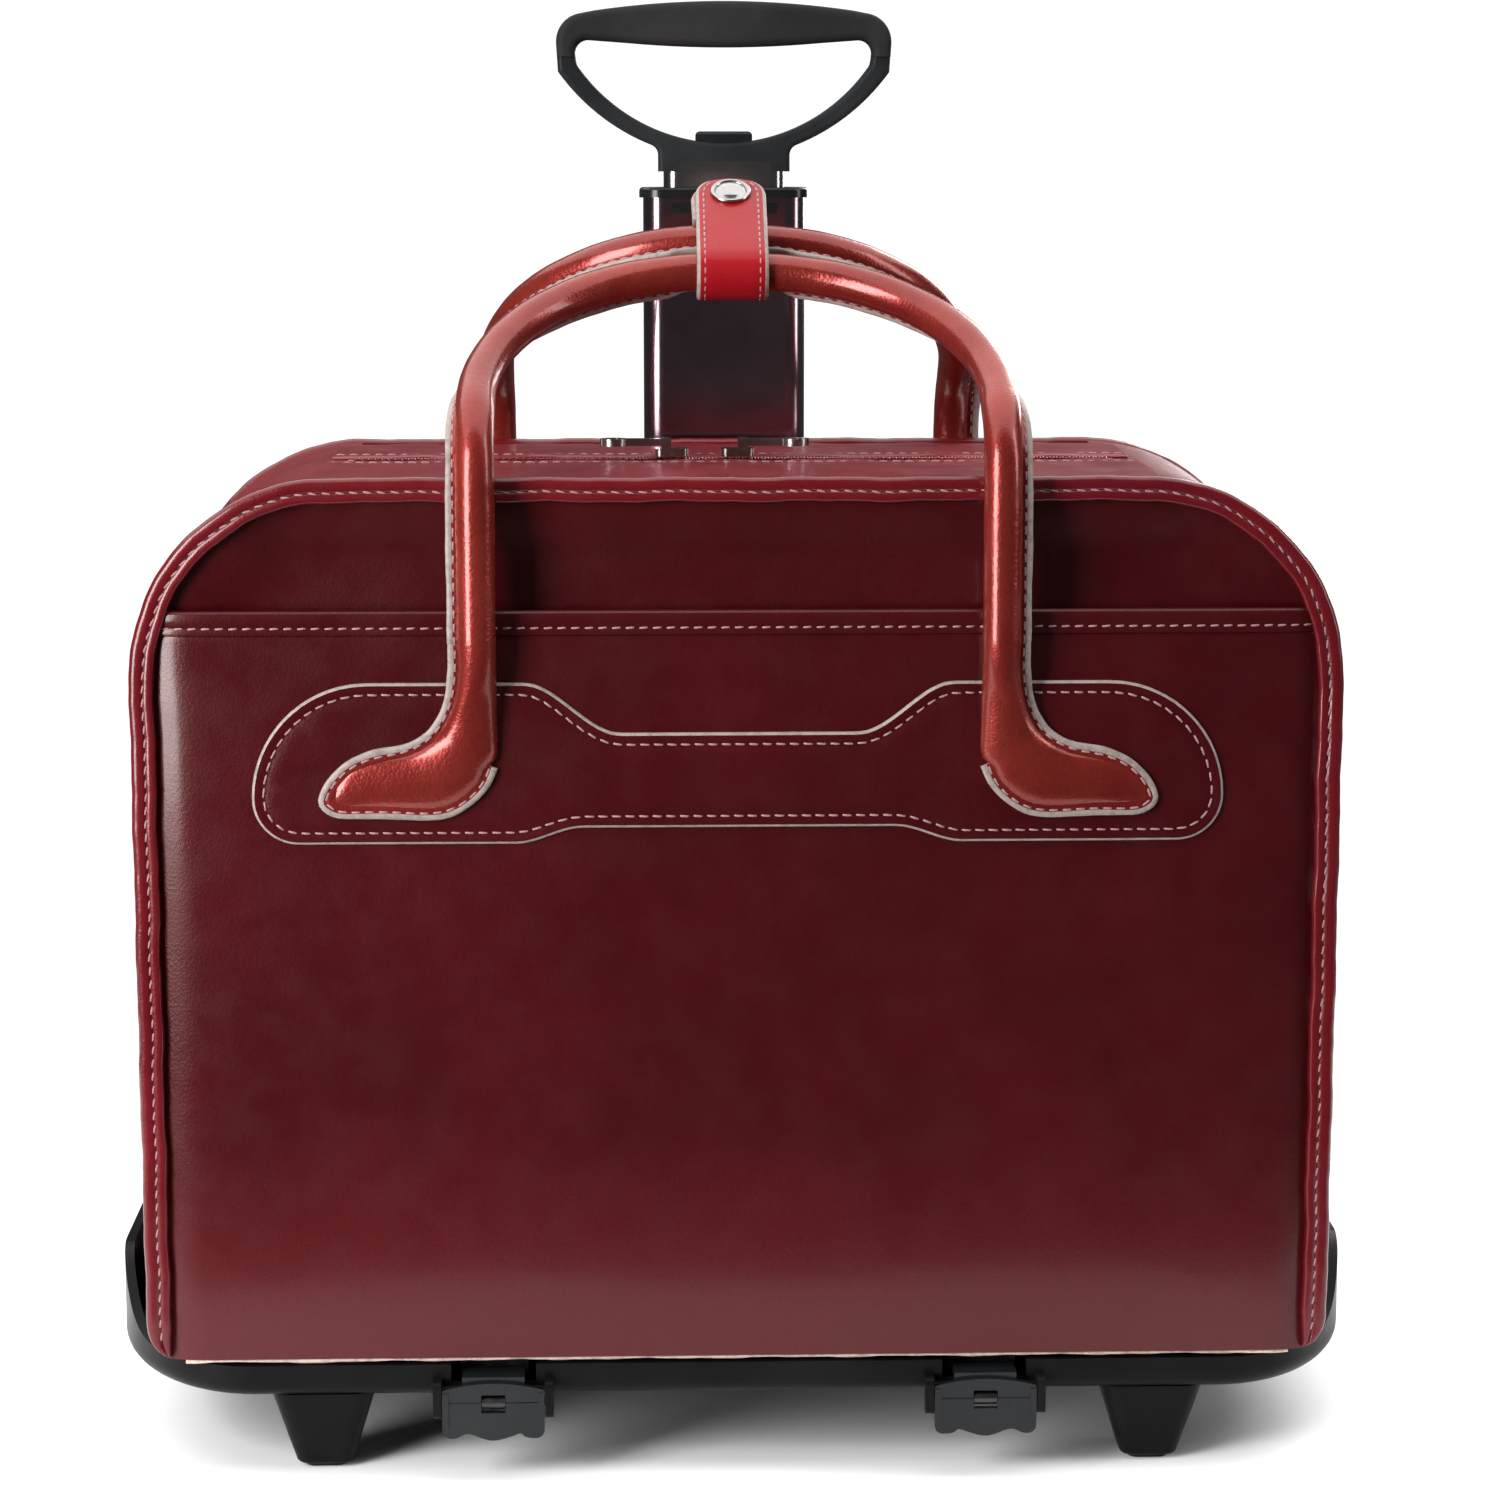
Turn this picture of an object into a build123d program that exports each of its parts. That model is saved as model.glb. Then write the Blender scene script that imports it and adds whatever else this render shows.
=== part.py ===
from build123d import *
import os
from math import atan2, cos, degrees, pi, radians, sin

# Rolling laptop case: a leather bag that stands on a detachable wheeled base with a
# telescoping handle.  Millimetres.  +Z is up, the front faces -Y, and the origin is on the
# floor under the middle of the whole object.

# ---------------------------------------------------------------- driving dimensions: bag
BAG_HALF_WIDTH = 210.0  # at the top of the tapering sides
BAG_HALF_WIDTH_LOW = 209.0
BAG_BOTTOM = 44.0
BAG_TOP = 356.0
BAG_SHOULDER_R = 70.0
BAG_FOOT_R = 13.5
FRONT_PLANE = -112.0  # middle of the front binding
BACK_PLANE = 64.0  # middle of the back binding
BAG_MID = (FRONT_PLANE + BACK_PLANE) / 2
BINDING_WIDTH = 8.7
BINDING_HALF = 3.0
SKIN_INSET = 1.0  # gusset skin, from the outline inwards
SKIN = 3.0
PANEL_INSET = 4.3
PANEL_RECESS = 6.0  # the front panel lies this far behind the pocket's plane
PANEL = 2.7
POCKET_TOP = 311.0
ZIP_HALF_LENGTH = 140.0
ZIP_HALF_GAP = 9.0
TAPE = 1.6
TEETH_HALF = 2.5
DIVIDER_Y = 17.5
DIVIDER = 6.0
DIVIDER_TOP = 292.0
BOARD_HALF = 184.0

PATCH_HALF = 168.0  # reinforcement patch across the front, and its twin at the back
PATCH_LOW = 229.5
PATCH_HIGH = 285.5
PATCH_END_R = 40.0
PATCH_TOE_R = 16.0
WAIST_HALF = 40.0
WAIST_LOW = 235.0
WAIST_HIGH = 268.0
PATCH = 2.0
TAB_TOP = 282.0
TAB_LOW = 240.5
TAB_INNER_X = 77.5
TAB_OUTER_X = 141.0
TAB = 2.5

PIPING = 1.6
CATCH_Y = -103.5
CATCH_LOW = 35.0

STRAP_HALF = 76.0  # half width of the strap across the back that the post passes through
STRAP_Z = (98.0, 220.0)
STRAP_Y = 114.5
STRAP_WALL = 2.5

# ---------------------------------------------------------------- driving dimensions: handles
HANDLE_R = 6.7
HANDLE_STANDOFF = 10.3  # leg centre line, from the binding's middle
HANDLE_PIVOT_Z = 290.0
HANDLE_BEND_Z = 354.0
HANDLE_BEND_R = 30.0
ARCH_R = 84.0
FRONT_LEG_X = 90.0
FRONT_LEAN = 60.6  # degrees from upright, over the bag's top
FRONT_REACH = 87.4  # from the end of the bend to the top of the arch
BACK_LEG_X = 88.0
BACK_LEAN = 54.5
BACK_REACH = 94.0
WRAP_HALF_WIDTH = 14.5
WRAP = 2.5
WRAP_CLEAR = 1.0
TAIL_START = 6.5  # the two layers behind the back handle, from its middle
TAIL = 18.0
SNAP_R = 7.5
SNAP = 3.0

# ---------------------------------------------------------------- driving dimensions: base
BASE_BOTTOM = 30.0
BASE_HALF_WIDTH = 226.0
BASE_FRONT = -114.0
BASE_BACK = 108.0
BASE_FLOOR = 3.0
BASE_WALL = 3.5
RIM_FRONT = 42.0
RIM_SIDE = 66.0
CORNER_A = 55.0  # half axes of the long front corners, in plan
CORNER_B = 85.0
CORNER_BACK_R = 24.0
REAR_Y = 71.0  # front face of the rear housing
REAR_TOP = 84.0
REAR_HALF = 177.6
SOCKET_TOP = 96.0

WHEEL_R = 28.0
WHEEL_HALF = 11.0
WHEEL_X = 198.0
WHEEL_Y = 101.0
WHEEL_WELL_R = 30.5
HOUSING_FRONT = WHEEL_Y - WHEEL_WELL_R - 1.8
RIM_R = 19.5
BEARING_R = 7.5
AXLE_R = 4.0
RUNNING = 0.05  # radial clearance of a running fit
CLEAR = 0.3  # clearance of a sliding fit

FOOT_X = 148.0
FOOT_Y = -92.5
FOOT_TOP_SIZE = (37.0, 34.0)
FOOT_LOW_SIZE = (20.0, 18.0)
LATCH_X = 87.0
LATCH_HALF = 18.0
LATCH_PIN_Y = -117.7
LATCH_PIN_Z = 29.5
LATCH_PIN_R = 1.5
LATCH_Z = (17.0, 37.0)
NOTCH_HALF = 15.0
NOTCH_LOW = 35.2

# ---------------------------------------------------------------- driving dimensions: post
POST_Y = 92.0
OUTER_SIZE = (75.0, 28.0)
MIDDLE_SIZE = (63.0, 20.0)
INNER_SIZE = (47.0, 13.0)
TUBE_WALL = 1.6
TUBE_R = {OUTER_SIZE: 11.0, MIDDLE_SIZE: 8.0, INNER_SIZE: 5.5}
OUTER_Z = (36.0, 332.0)
MIDDLE_Z = (150.0, 448.0)
INNER_Z = (168.0, 462.0)
BUSH_HEIGHT = 20.0
COLLAR_Z = (318.0, 346.0)
CAP_TOP = 452.0
INLAY_Z = (442.0, 446.0)
INLAY_HALF = 20.5
GRIP_BOTTOM = 458.0
GRIP_TOP = 523.2
GRIP_HALF = 64.3
GRIP_SPLIT = 502.0
GRIP_HALF_THICK = 6.5
RUBBER_HALF_THICK = 9.0
NECK_HALF = 25.6
BUTTON_HALF = 11.0
BUTTON_Z = (464.5, 473.5)
ROD_X = 8.0
ROD_R = 1.5
ROD_LOW = 196.0


# ---------------------------------------------------------------- helpers
def save(name, shape):
    shape.label = name
    export_step(shape, f"parts/{name}.step")


def slab(sketch, y_low, y_high):
    """A sketch drawn in X and Z, as a plate between two Y planes."""
    return Pos(0, y_high, 0) * extrude(Plane.XZ * sketch, y_high - y_low)


def block(x, y, z):
    """A box from three (low, high) pairs."""
    centre = [(low + high) / 2 for low, high in (x, y, z)]
    return Pos(*centre) * Box(x[1] - x[0], y[1] - y[0], z[1] - z[0])


def window(x, z):
    """A rectangle from two (low, high) pairs, to cut sketches with."""
    return Pos((x[0] + x[1]) / 2, (z[0] + z[1]) / 2) * Rectangle(x[1] - x[0], z[1] - z[0])


def mirrored(shape):
    return mirror(shape, about=Plane.YZ)


def both_sides(shape):
    """A shape and its mirror image, as separate solids in one node."""
    return Compound(children=[*shape.solids(), *mirrored(shape).solids()])


def save_pair(name, right):
    save(f"{name}_right", right)
    save(f"{name}_left", mirrored(right))


def rod_x(x_low, x_high, y, z, radius):
    return Pos((x_low + x_high) / 2, y, z) * Rot(0, 90, 0) * Cylinder(radius, x_high - x_low)


def oval_bar(size, z_low, z_high, grow=0.0):
    """A solid bar with a tube's outer section on the post's axis, grown by a margin."""
    profile = RectangleRounded(size[0] + 2 * grow, size[1] + 2 * grow, TUBE_R[size] + grow)
    return Pos(0, POST_Y, z_low) * extrude(profile, z_high - z_low)


def oval_tube(size, z):
    return oval_bar(size, *z) - oval_bar(size, z[0] - 1, z[1] + 1, -TUBE_WALL)


def symmetric_face(half_edges):
    """A face from the right half of its outline, whose ends lie on the middle line."""
    edges = list(half_edges)
    return make_face(edges + [mirror(edge, about=Plane.YZ) for edge in edges])


# ---------------------------------------------------------------- the bag's shell
def bag_outline(inset=0.0):
    corners = [
        (-BAG_HALF_WIDTH_LOW, BAG_BOTTOM),
        (BAG_HALF_WIDTH_LOW, BAG_BOTTOM),
        (BAG_HALF_WIDTH, BAG_TOP),
        (-BAG_HALF_WIDTH, BAG_TOP),
    ]
    face = make_face(Polyline(*corners, close=True))
    face = fillet(face.vertices().group_by(Axis.Y)[-1], BAG_SHOULDER_R)
    face = fillet(face.vertices().group_by(Axis.Y)[0], BAG_FOOT_R)
    return offset(face, -inset) if inset else face


def make_panels():
    everywhere = (-BAG_HALF_WIDTH, BAG_HALF_WIDTH)
    front_y = FRONT_PLANE + PANEL_RECESS
    save("front_panel", slab(bag_outline(PANEL_INSET), front_y, front_y + PANEL))
    pocket = bag_outline(BINDING_WIDTH) & window(everywhere, (0, POCKET_TOP))
    pocket_y = FRONT_PLANE - 1.5
    save("pocket_panel", slab(pocket, pocket_y, pocket_y + PANEL))
    save("back_panel", slab(bag_outline(BINDING_WIDTH), BACK_PLANE - 1.5, BACK_PLANE + 1.0))
    ring = bag_outline() - bag_outline(BINDING_WIDTH)
    for name, y in (("binding_front", FRONT_PLANE), ("binding_back", BACK_PLANE)):
        save(name, slab(ring, y - BINDING_HALF, y + BINDING_HALF))


def make_gussets():
    low = FRONT_PLANE + BINDING_HALF
    high = BACK_PLANE - BINDING_HALF
    band = bag_outline(SKIN_INSET) - bag_outline(SKIN_INSET + SKIN)
    side_low = BAG_BOTTOM + 20
    wide = (-BAG_HALF_WIDTH, BAG_HALF_WIDTH)
    save("bottom_gusset", slab(band & window(wide, (0, side_low)), low, high))
    side = band & window((ZIP_HALF_LENGTH, BAG_HALF_WIDTH), (side_low, BAG_TOP))
    save_pair("side_gusset", slab(side, low, high))
    top = band & window((-ZIP_HALF_LENGTH, ZIP_HALF_LENGTH), (BAG_TOP - 20, BAG_TOP))
    save("top_gusset_front", slab(top, low, BAG_MID - ZIP_HALF_GAP))
    save("top_gusset_back", slab(top, BAG_MID + ZIP_HALF_GAP, high))


def make_zip():
    along = (-ZIP_HALF_LENGTH, ZIP_HALF_LENGTH)
    across = (BAG_MID - ZIP_HALF_GAP, BAG_MID + ZIP_HALF_GAP)
    tape_top = BAG_TOP - SKIN_INSET - 0.8
    teeth_top = tape_top + 1.6
    chain = block(along, across, (tape_top - TAPE, tape_top))
    teeth = (BAG_MID - TEETH_HALF, BAG_MID + TEETH_HALF)
    save("zip_chain", chain + block(along, teeth, (tape_top, teeth_top)))
    for side, x in (("left", -22.0), ("right", 2.0)):
        make_slider(side, x, teeth_top)


def make_slider(side, x, teeth_top):
    """A slider over the teeth, with ears and a pin that its pull tab swings on."""
    outward = -1 if side == "left" else 1
    body_z = (teeth_top + CLEAR, teeth_top + 3.2)
    body = block((x - 6, x + 6), (BAG_MID - 4.2, BAG_MID + 4.2), body_z)
    body = fillet(body.edges().filter_by(Axis.Z), 2.5)
    pin_x = x + outward * 2
    pin_z = body_z[1] + 2.2
    for y in (BAG_MID - 3.2, BAG_MID + 3.2):
        body += block((pin_x - 1.8, pin_x + 1.8), (y - 0.7, y + 0.7), (body_z[1], pin_z + 1.6))
    pin = Pos(pin_x, BAG_MID, pin_z) * Rot(90, 0, 0) * Cylinder(0.8, 7.0)
    save(f"zip_slider_{side}", body + pin)
    tab_ends = sorted((pin_x - outward * 1.6, pin_x + outward * 24))
    tab = block(tab_ends, (BAG_MID - 2.1, BAG_MID + 2.1), (pin_z - 1.3, pin_z + 1.3))
    tab += Pos(pin_x + outward * 19, BAG_MID, pin_z) * Cylinder(5.0, 2.6)
    tab -= Pos(pin_x + outward * 19, BAG_MID, pin_z) * Cylinder(2.6, 4.0)
    tab -= Pos(pin_x, BAG_MID, pin_z) * Rot(90, 0, 0) * Cylinder(0.8 + RUNNING, 8.0)
    save(f"zip_pull_{side}", tab)


def make_inside():
    """The stiff board in the bottom and the padded divider in front of the laptop."""
    wide = (-BAG_HALF_WIDTH, BAG_HALF_WIDTH)
    board_y = (FRONT_PLANE + PANEL_RECESS + PANEL + 1.0, BACK_PLANE - BINDING_HALF - 1.0)
    board_low = BAG_BOTTOM + SKIN_INSET + SKIN + 0.2
    board_z = (board_low, board_low + 3)
    save("base_board", block((-BOARD_HALF, BOARD_HALF), board_y, board_z))
    divider = bag_outline(12.0) & window(wide, (board_z[1] + 1, DIVIDER_TOP))
    save("laptop_divider", slab(divider, DIVIDER_Y, DIVIDER_Y + DIVIDER))


def patch_outline():
    knee = WAIST_HALF + 35
    end_x = PATCH_HALF - PATCH_END_R
    waist = Line((0, WAIST_HIGH), (WAIST_HALF, WAIST_HIGH))
    shoulder = Spline((WAIST_HALF, WAIST_HIGH), (knee, PATCH_HIGH), tangents=((1, 0), (1, 0)))
    top = Line((knee, PATCH_HIGH), (end_x, PATCH_HIGH))
    end = TangentArc((end_x, PATCH_HIGH), (PATCH_HALF, PATCH_HIGH - PATCH_END_R), tangent=(1, 0))
    toe_top = (PATCH_HALF, PATCH_HIGH - PATCH_END_R)
    toe = TangentArc(toe_top, (PATCH_HALF - PATCH_TOE_R, PATCH_LOW), tangent=(0, -1))
    low = Line((PATCH_HALF - PATCH_TOE_R, PATCH_LOW), (knee, PATCH_LOW))
    rise = Spline((knee, PATCH_LOW), (knee - 20, WAIST_LOW), tangents=((-1, 0), (-1, 0)))
    middle = Line((knee - 20, WAIST_LOW), (0, WAIST_LOW))
    return symmetric_face([waist, shoulder, top, end, toe, low, rise, middle])


def tab_outline():
    """The right handle tab: a narrow leg that flares outwards to a long toe."""
    neck_x = TAB_INNER_X + 16.8
    flare = Spline(
        (neck_x, TAB_TOP),
        (TAB_INNER_X + 27, 269.5),
        (TAB_OUTER_X - 10, 260.0),
        (TAB_OUTER_X, 247.5),
        tangents=((0, -1), (0, -1)),
    )
    toe = TangentArc((TAB_OUTER_X, 247.5), (TAB_OUTER_X - 7, TAB_LOW), tangent=(0, -1))
    heel_x = TAB_INNER_X + 17.5
    bottom = Line((TAB_OUTER_X - 7, TAB_LOW), (heel_x, TAB_LOW))
    heel = TangentArc((heel_x, TAB_LOW), (TAB_INNER_X, TAB_LOW + 17.5), tangent=(-1, 0))
    inner = Line((TAB_INNER_X, TAB_LOW + 17.5), (TAB_INNER_X, TAB_TOP))
    top = Line((TAB_INNER_X, TAB_TOP), (neck_x, TAB_TOP))
    return make_face([flare, toe, bottom, heel, inner, top])


def make_patches():
    patch = patch_outline()
    tabs = tab_outline()
    front = FRONT_PLANE - 1.5
    save("patch_front", slab(patch, front - PATCH, front))
    save("handle_tabs_front", both_sides(slab(tabs, front - PATCH - TAB, front - PATCH)))
    back = BACK_PLANE + 1.0
    save("patch_back", slab(patch, back, back + PATCH))
    save("handle_tabs_back", both_sides(slab(tabs, back + PATCH, back + PATCH + TAB)))


def make_trolley_strap():
    inner = STRAP_HALF - STRAP_WALL
    start = BACK_PLANE + 1.0
    wide = (-STRAP_HALF, STRAP_HALF)
    strap = block(wide, (start, STRAP_Y), STRAP_Z)
    strap -= block((-inner, inner), (0, STRAP_Y - STRAP_WALL), (STRAP_Z[0] - 1, STRAP_Z[1] + 1))
    save("trolley_strap", strap)


def make_bag_underside():
    """A light piping along the front seam and the metal plates that the latches hold."""
    low = BAG_BOTTOM - PIPING
    half = BAG_HALF_WIDTH_LOW - BAG_FOOT_R
    seam_y = (FRONT_PLANE - 1.0, FRONT_PLANE + 3.0)
    save("bottom_piping", block((-half, half), seam_y, (low, BAG_BOTTOM)))
    plate_x = (LATCH_X - 12, LATCH_X + 12)
    plate_y = (CATCH_Y, CATCH_Y + 1.6)
    plate = block(plate_x, plate_y, (CATCH_LOW, BAG_BOTTOM + SKIN_INSET))
    lip = block(plate_x, (CATCH_Y - 2.4, CATCH_Y), (CATCH_LOW, CATCH_LOW + 1.4))
    save("catch_plates", both_sides(plate + lip))


# ---------------------------------------------------------------- carry handles and wrap
def handle_path(leg_x, lean, reach, side):
    """Centre line of one handle: legs, a bend over the bag's edge and a leaning arch.

    side is -1 at the front and +1 at the back.  Returns the line and the arch's top."""
    tilt = radians(lean)
    leg_y = (FRONT_PLANE if side < 0 else BACK_PLANE) + side * HANDLE_STANDOFF

    def bend_point(angle):
        y = leg_y - side * HANDLE_BEND_R * (1 - cos(angle))
        return y, HANDLE_BEND_Z + HANDLE_BEND_R * sin(angle)

    bend_y, bend_z = bend_point(tilt)

    def arch_point(x, along):
        return x, bend_y - side * along * sin(tilt), bend_z + along * cos(tilt)

    straight = reach - ARCH_R
    flat = leg_x - ARCH_R
    diagonal = ARCH_R * sin(pi / 4)
    half = [
        Line((leg_x, leg_y, HANDLE_PIVOT_Z), (leg_x, leg_y, HANDLE_BEND_Z)),
        ThreePointArc(
            (leg_x, leg_y, HANDLE_BEND_Z),
            (leg_x, *bend_point(tilt / 2)),
            (leg_x, bend_y, bend_z),
        ),
        Line((leg_x, bend_y, bend_z), arch_point(leg_x, straight)),
        ThreePointArc(
            arch_point(leg_x, straight),
            arch_point(flat + diagonal, straight + diagonal),
            arch_point(flat, reach),
        ),
    ]
    top = Line(arch_point(flat, reach), arch_point(-flat, reach))
    other = [mirror(edge, about=Plane.YZ).edge() for edge in half]
    return Wire([edge.edge() for edge in [*half, top, *other]]), arch_point(0, reach)


def make_handle(name, leg_x, lean, reach, side):
    path, top = handle_path(leg_x, lean, reach, side)
    start = Vector(leg_x, path.vertices().sort_by(Axis.Z)[0].Y, HANDLE_PIVOT_Z)
    section = Plane(origin=start, z_dir=(0, 0, 1)) * Circle(HANDLE_R)
    save(name, sweep(section, path=path))
    return top


def make_wrap(front_top, back_top):
    """A strap round both handles, whose two ends meet behind them under a snap."""
    front = Vector(front_top[1], front_top[2])
    back = Vector(back_top[1], back_top[2])
    slope = (back - front).normalized()
    up = Vector(-slope.Y, slope.X)
    clear = HANDLE_R + WRAP_CLEAR

    def loop(radius):
        circles = [Pos(*centre) * Circle(radius) for centre in (front, back)]
        return make_hull([edge for circle in circles for edge in circle.edges()])

    middle = back + slope * (TAIL_START + TAIL / 2) + up * clear
    turn = degrees(atan2(slope.Y, slope.X))
    tail = Pos(middle.X, middle.Y) * Rot(0, 0, turn) * Rectangle(TAIL, 2 * WRAP)
    section = loop(clear + WRAP) - loop(clear) + tail
    save("wrap_strap", extrude(Plane.YZ * section, WRAP_HALF_WIDTH, both=True))
    seat = Plane(origin=(0, middle.X, middle.Y), x_dir=(1, 0, 0), z_dir=(0, up.X, up.Y))
    cap = seat * Pos(0, 0, WRAP + SNAP / 2) * Cylinder(SNAP_R, SNAP)
    base = seat * Pos(0, 0, -WRAP - SNAP / 4) * Cylinder(SNAP_R - 1.5, SNAP / 2)
    save("snap_fastener", Compound(children=[*cap.solids(), *base.solids()]))


# ---------------------------------------------------------------- wheeled base
def base_outline(inset=0.0):
    """Plan of the base: straight front, long elliptical front corners, round back corners."""
    half = BASE_HALF_WIDTH - inset
    front = BASE_FRONT + inset
    back = BASE_BACK - inset
    centre = (BASE_HALF_WIDTH - CORNER_A, BASE_FRONT + CORNER_B)
    radius = CORNER_BACK_R - inset
    corner = EllipticalCenterArc(centre, CORNER_A - inset, CORNER_B - inset, 270, arc_size=90)
    side_end = (half, back - radius)
    edges = [
        Line((0, front), (centre[0], front)),
        corner,
        Line((half, centre[1]), side_end),
        TangentArc(side_end, (half - radius, back), tangent=(0, 1)),
        Line((half - radius, back), (0, back)),
    ]
    return symmetric_face(edges)


def make_tray():
    tray = Pos(0, 0, BASE_BOTTOM) * extrude(base_outline(), RIM_SIDE - BASE_BOTTOM)
    tray = fillet(tray.edges().group_by(Axis.Z)[0], 7.0)
    floor = BASE_BOTTOM + BASE_FLOOR
    tray -= Pos(0, 0, floor) * extrude(base_outline(BASE_WALL), RIM_SIDE)
    sweep_up = [
        Line((BASE_FRONT - 5, RIM_FRONT), (BASE_FRONT + 20, RIM_FRONT)),
        Spline(
            (BASE_FRONT + 20, RIM_FRONT),
            (BASE_FRONT + 85, RIM_SIDE + 0.5),
            tangents=((1, 0), (1, 0)),
        ),
        Line((BASE_FRONT + 85, RIM_SIDE + 0.5), (BASE_FRONT + 85, RIM_SIDE + 9)),
        Line((BASE_FRONT + 85, RIM_SIDE + 9), (BASE_FRONT - 5, RIM_SIDE + 9)),
        Line((BASE_FRONT - 5, RIM_SIDE + 9), (BASE_FRONT - 5, RIM_FRONT)),
    ]
    tray -= extrude(Plane.YZ * make_face(sweep_up), BASE_HALF_WIDTH + 5, both=True)
    wheel_bay = block((REAR_HALF, 240), (HOUSING_FRONT, 140), (0, 100))
    tray -= wheel_bay + mirrored(wheel_bay)
    middle = block((-REAR_HALF, REAR_HALF), (REAR_Y, 140), (floor, 100))
    tray -= middle
    for x in (-LATCH_X, LATCH_X):
        notch_x = (x - NOTCH_HALF, x + NOTCH_HALF)
        tray -= block(notch_x, (BASE_FRONT - 2, BASE_FRONT + 8), (NOTCH_LOW, RIM_FRONT + 2))
    for x in (-120, -40, 40, 120):
        rib = block((x - 1.2, x + 1.2), (BASE_FRONT + 16, REAR_Y - 4), (floor, floor + 8.4))
        tray += rib
    save("base_tray", tray)


def make_rear_housing():
    """The cover across the back of the base that carries the post."""
    span = (-REAR_HALF, REAR_HALF)
    floor = BASE_BOTTOM + BASE_FLOOR
    housing = block(span, (REAR_Y, BASE_BACK), (floor, REAR_TOP))
    top = housing.edges().group_by(Axis.Z)[-1].filter_by(Axis.X)
    housing = fillet(top, 8.0)
    housing -= block(
        (span[0] + 4, span[1] - 4), (REAR_Y + 3.5, BASE_BACK - 3.5), (floor - 1, REAR_TOP - 3.5)
    )
    housing -= oval_bar(OUTER_SIZE, floor, SOCKET_TOP, 4.0)
    save("rear_housing", housing)
    socket = oval_bar(OUTER_SIZE, floor, SOCKET_TOP, 4.0)
    socket = chamfer(socket.edges().group_by(Axis.Z)[-1], 1.5)
    socket -= oval_bar(OUTER_SIZE, OUTER_Z[0], SOCKET_TOP + 1)
    save("post_socket", socket)


def make_wheel_housings():
    """Fenders at the back corners, each with two cheeks that hold a stub axle."""
    well = (WHEEL_X - WHEEL_HALF - 2.5, WHEEL_X + WHEEL_HALF + 2.5)
    outer = well[1] + 9.0
    cheek = (well[1], well[1] + 5)
    top = WHEEL_R + WHEEL_WELL_R + 4
    back = WHEEL_Y + 15
    shell = block((REAR_HALF, outer), (HOUSING_FRONT, back), (BASE_BOTTOM, top))
    shell = fillet(shell.edges().group_by(Axis.Z)[-1], 5.0)
    shell -= rod_x(well[0], outer + 5, WHEEL_Y, WHEEL_R, WHEEL_WELL_R)
    below = (HOUSING_FRONT + 1.8, back + 5)
    shell -= block((well[0], outer + 5), below, (0, WHEEL_R))
    arm = rod_x(*cheek, WHEEL_Y, WHEEL_R, 11.0)
    arm += block(cheek, (WHEEL_Y - 11, WHEEL_Y + 11), (WHEEL_R, top - 5))
    shell += arm
    shell += rod_x(REAR_HALF, well[0], WHEEL_Y, WHEEL_R, 12.0)
    axle_x = (REAR_HALF + 2, cheek[1] + 1.5)
    axle = rod_x(*axle_x, WHEEL_Y, WHEEL_R, AXLE_R)
    save("wheel_housings", both_sides(shell - axle))
    save("axles", both_sides(axle))


def make_wheels():
    half = WHEEL_HALF
    low, high = WHEEL_X - half, WHEEL_X + half
    tyre = rod_x(low, high, WHEEL_Y, WHEEL_R, WHEEL_R)
    tyre = fillet(tyre.edges(), 4.0)
    tyre -= rod_x(low - 1, high + 1, WHEEL_Y, WHEEL_R, RIM_R)
    save_pair("tyre", tyre)
    rim = rod_x(low + 0.5, high - 0.5, WHEEL_Y, WHEEL_R, RIM_R)
    recess = rod_x(high - 5, high, WHEEL_Y, WHEEL_R, RIM_R - 2.5)
    recess += rod_x(low, low + 5, WHEEL_Y, WHEEL_R, RIM_R - 2.5)
    rim -= recess
    rim += rod_x(low + 0.5, high - 0.5, WHEEL_Y, WHEEL_R, BEARING_R + 2.0)
    for turn in range(5):
        angle = radians(72 * turn + 36)
        y = WHEEL_Y + 13.2 * cos(angle)
        z = WHEEL_R + 13.2 * sin(angle)
        rim -= rod_x(low, high, y, z, 2.6)
    rim -= rod_x(low, high, WHEEL_Y, WHEEL_R, BEARING_R)
    save_pair("wheel_rim", rim)
    bearing = rod_x(low - 0.5, high + 0.5, WHEEL_Y, WHEEL_R, BEARING_R)
    bearing -= rod_x(low - 1, high + 1, WHEEL_Y, WHEEL_R, AXLE_R + RUNNING)
    save_pair("wheel_bearing", bearing)


def make_feet():
    top = Plane.XY.offset(BASE_BOTTOM) * RectangleRounded(*FOOT_TOP_SIZE, 7)
    bottom = Plane.XY.offset(1.5) * RectangleRounded(*FOOT_LOW_SIZE, 5)
    foot = Pos(FOOT_X, FOOT_Y, 0) * loft([bottom, top])
    foot = fillet(foot.edges().group_by(Axis.Z)[0], 2.0)
    pad = Pos(FOOT_X, FOOT_Y, 0) * extrude(RectangleRounded(14, 12, 3.5), 4.0)
    save("front_feet", both_sides(foot - pad))
    save("foot_pads", both_sides(pad))


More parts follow.
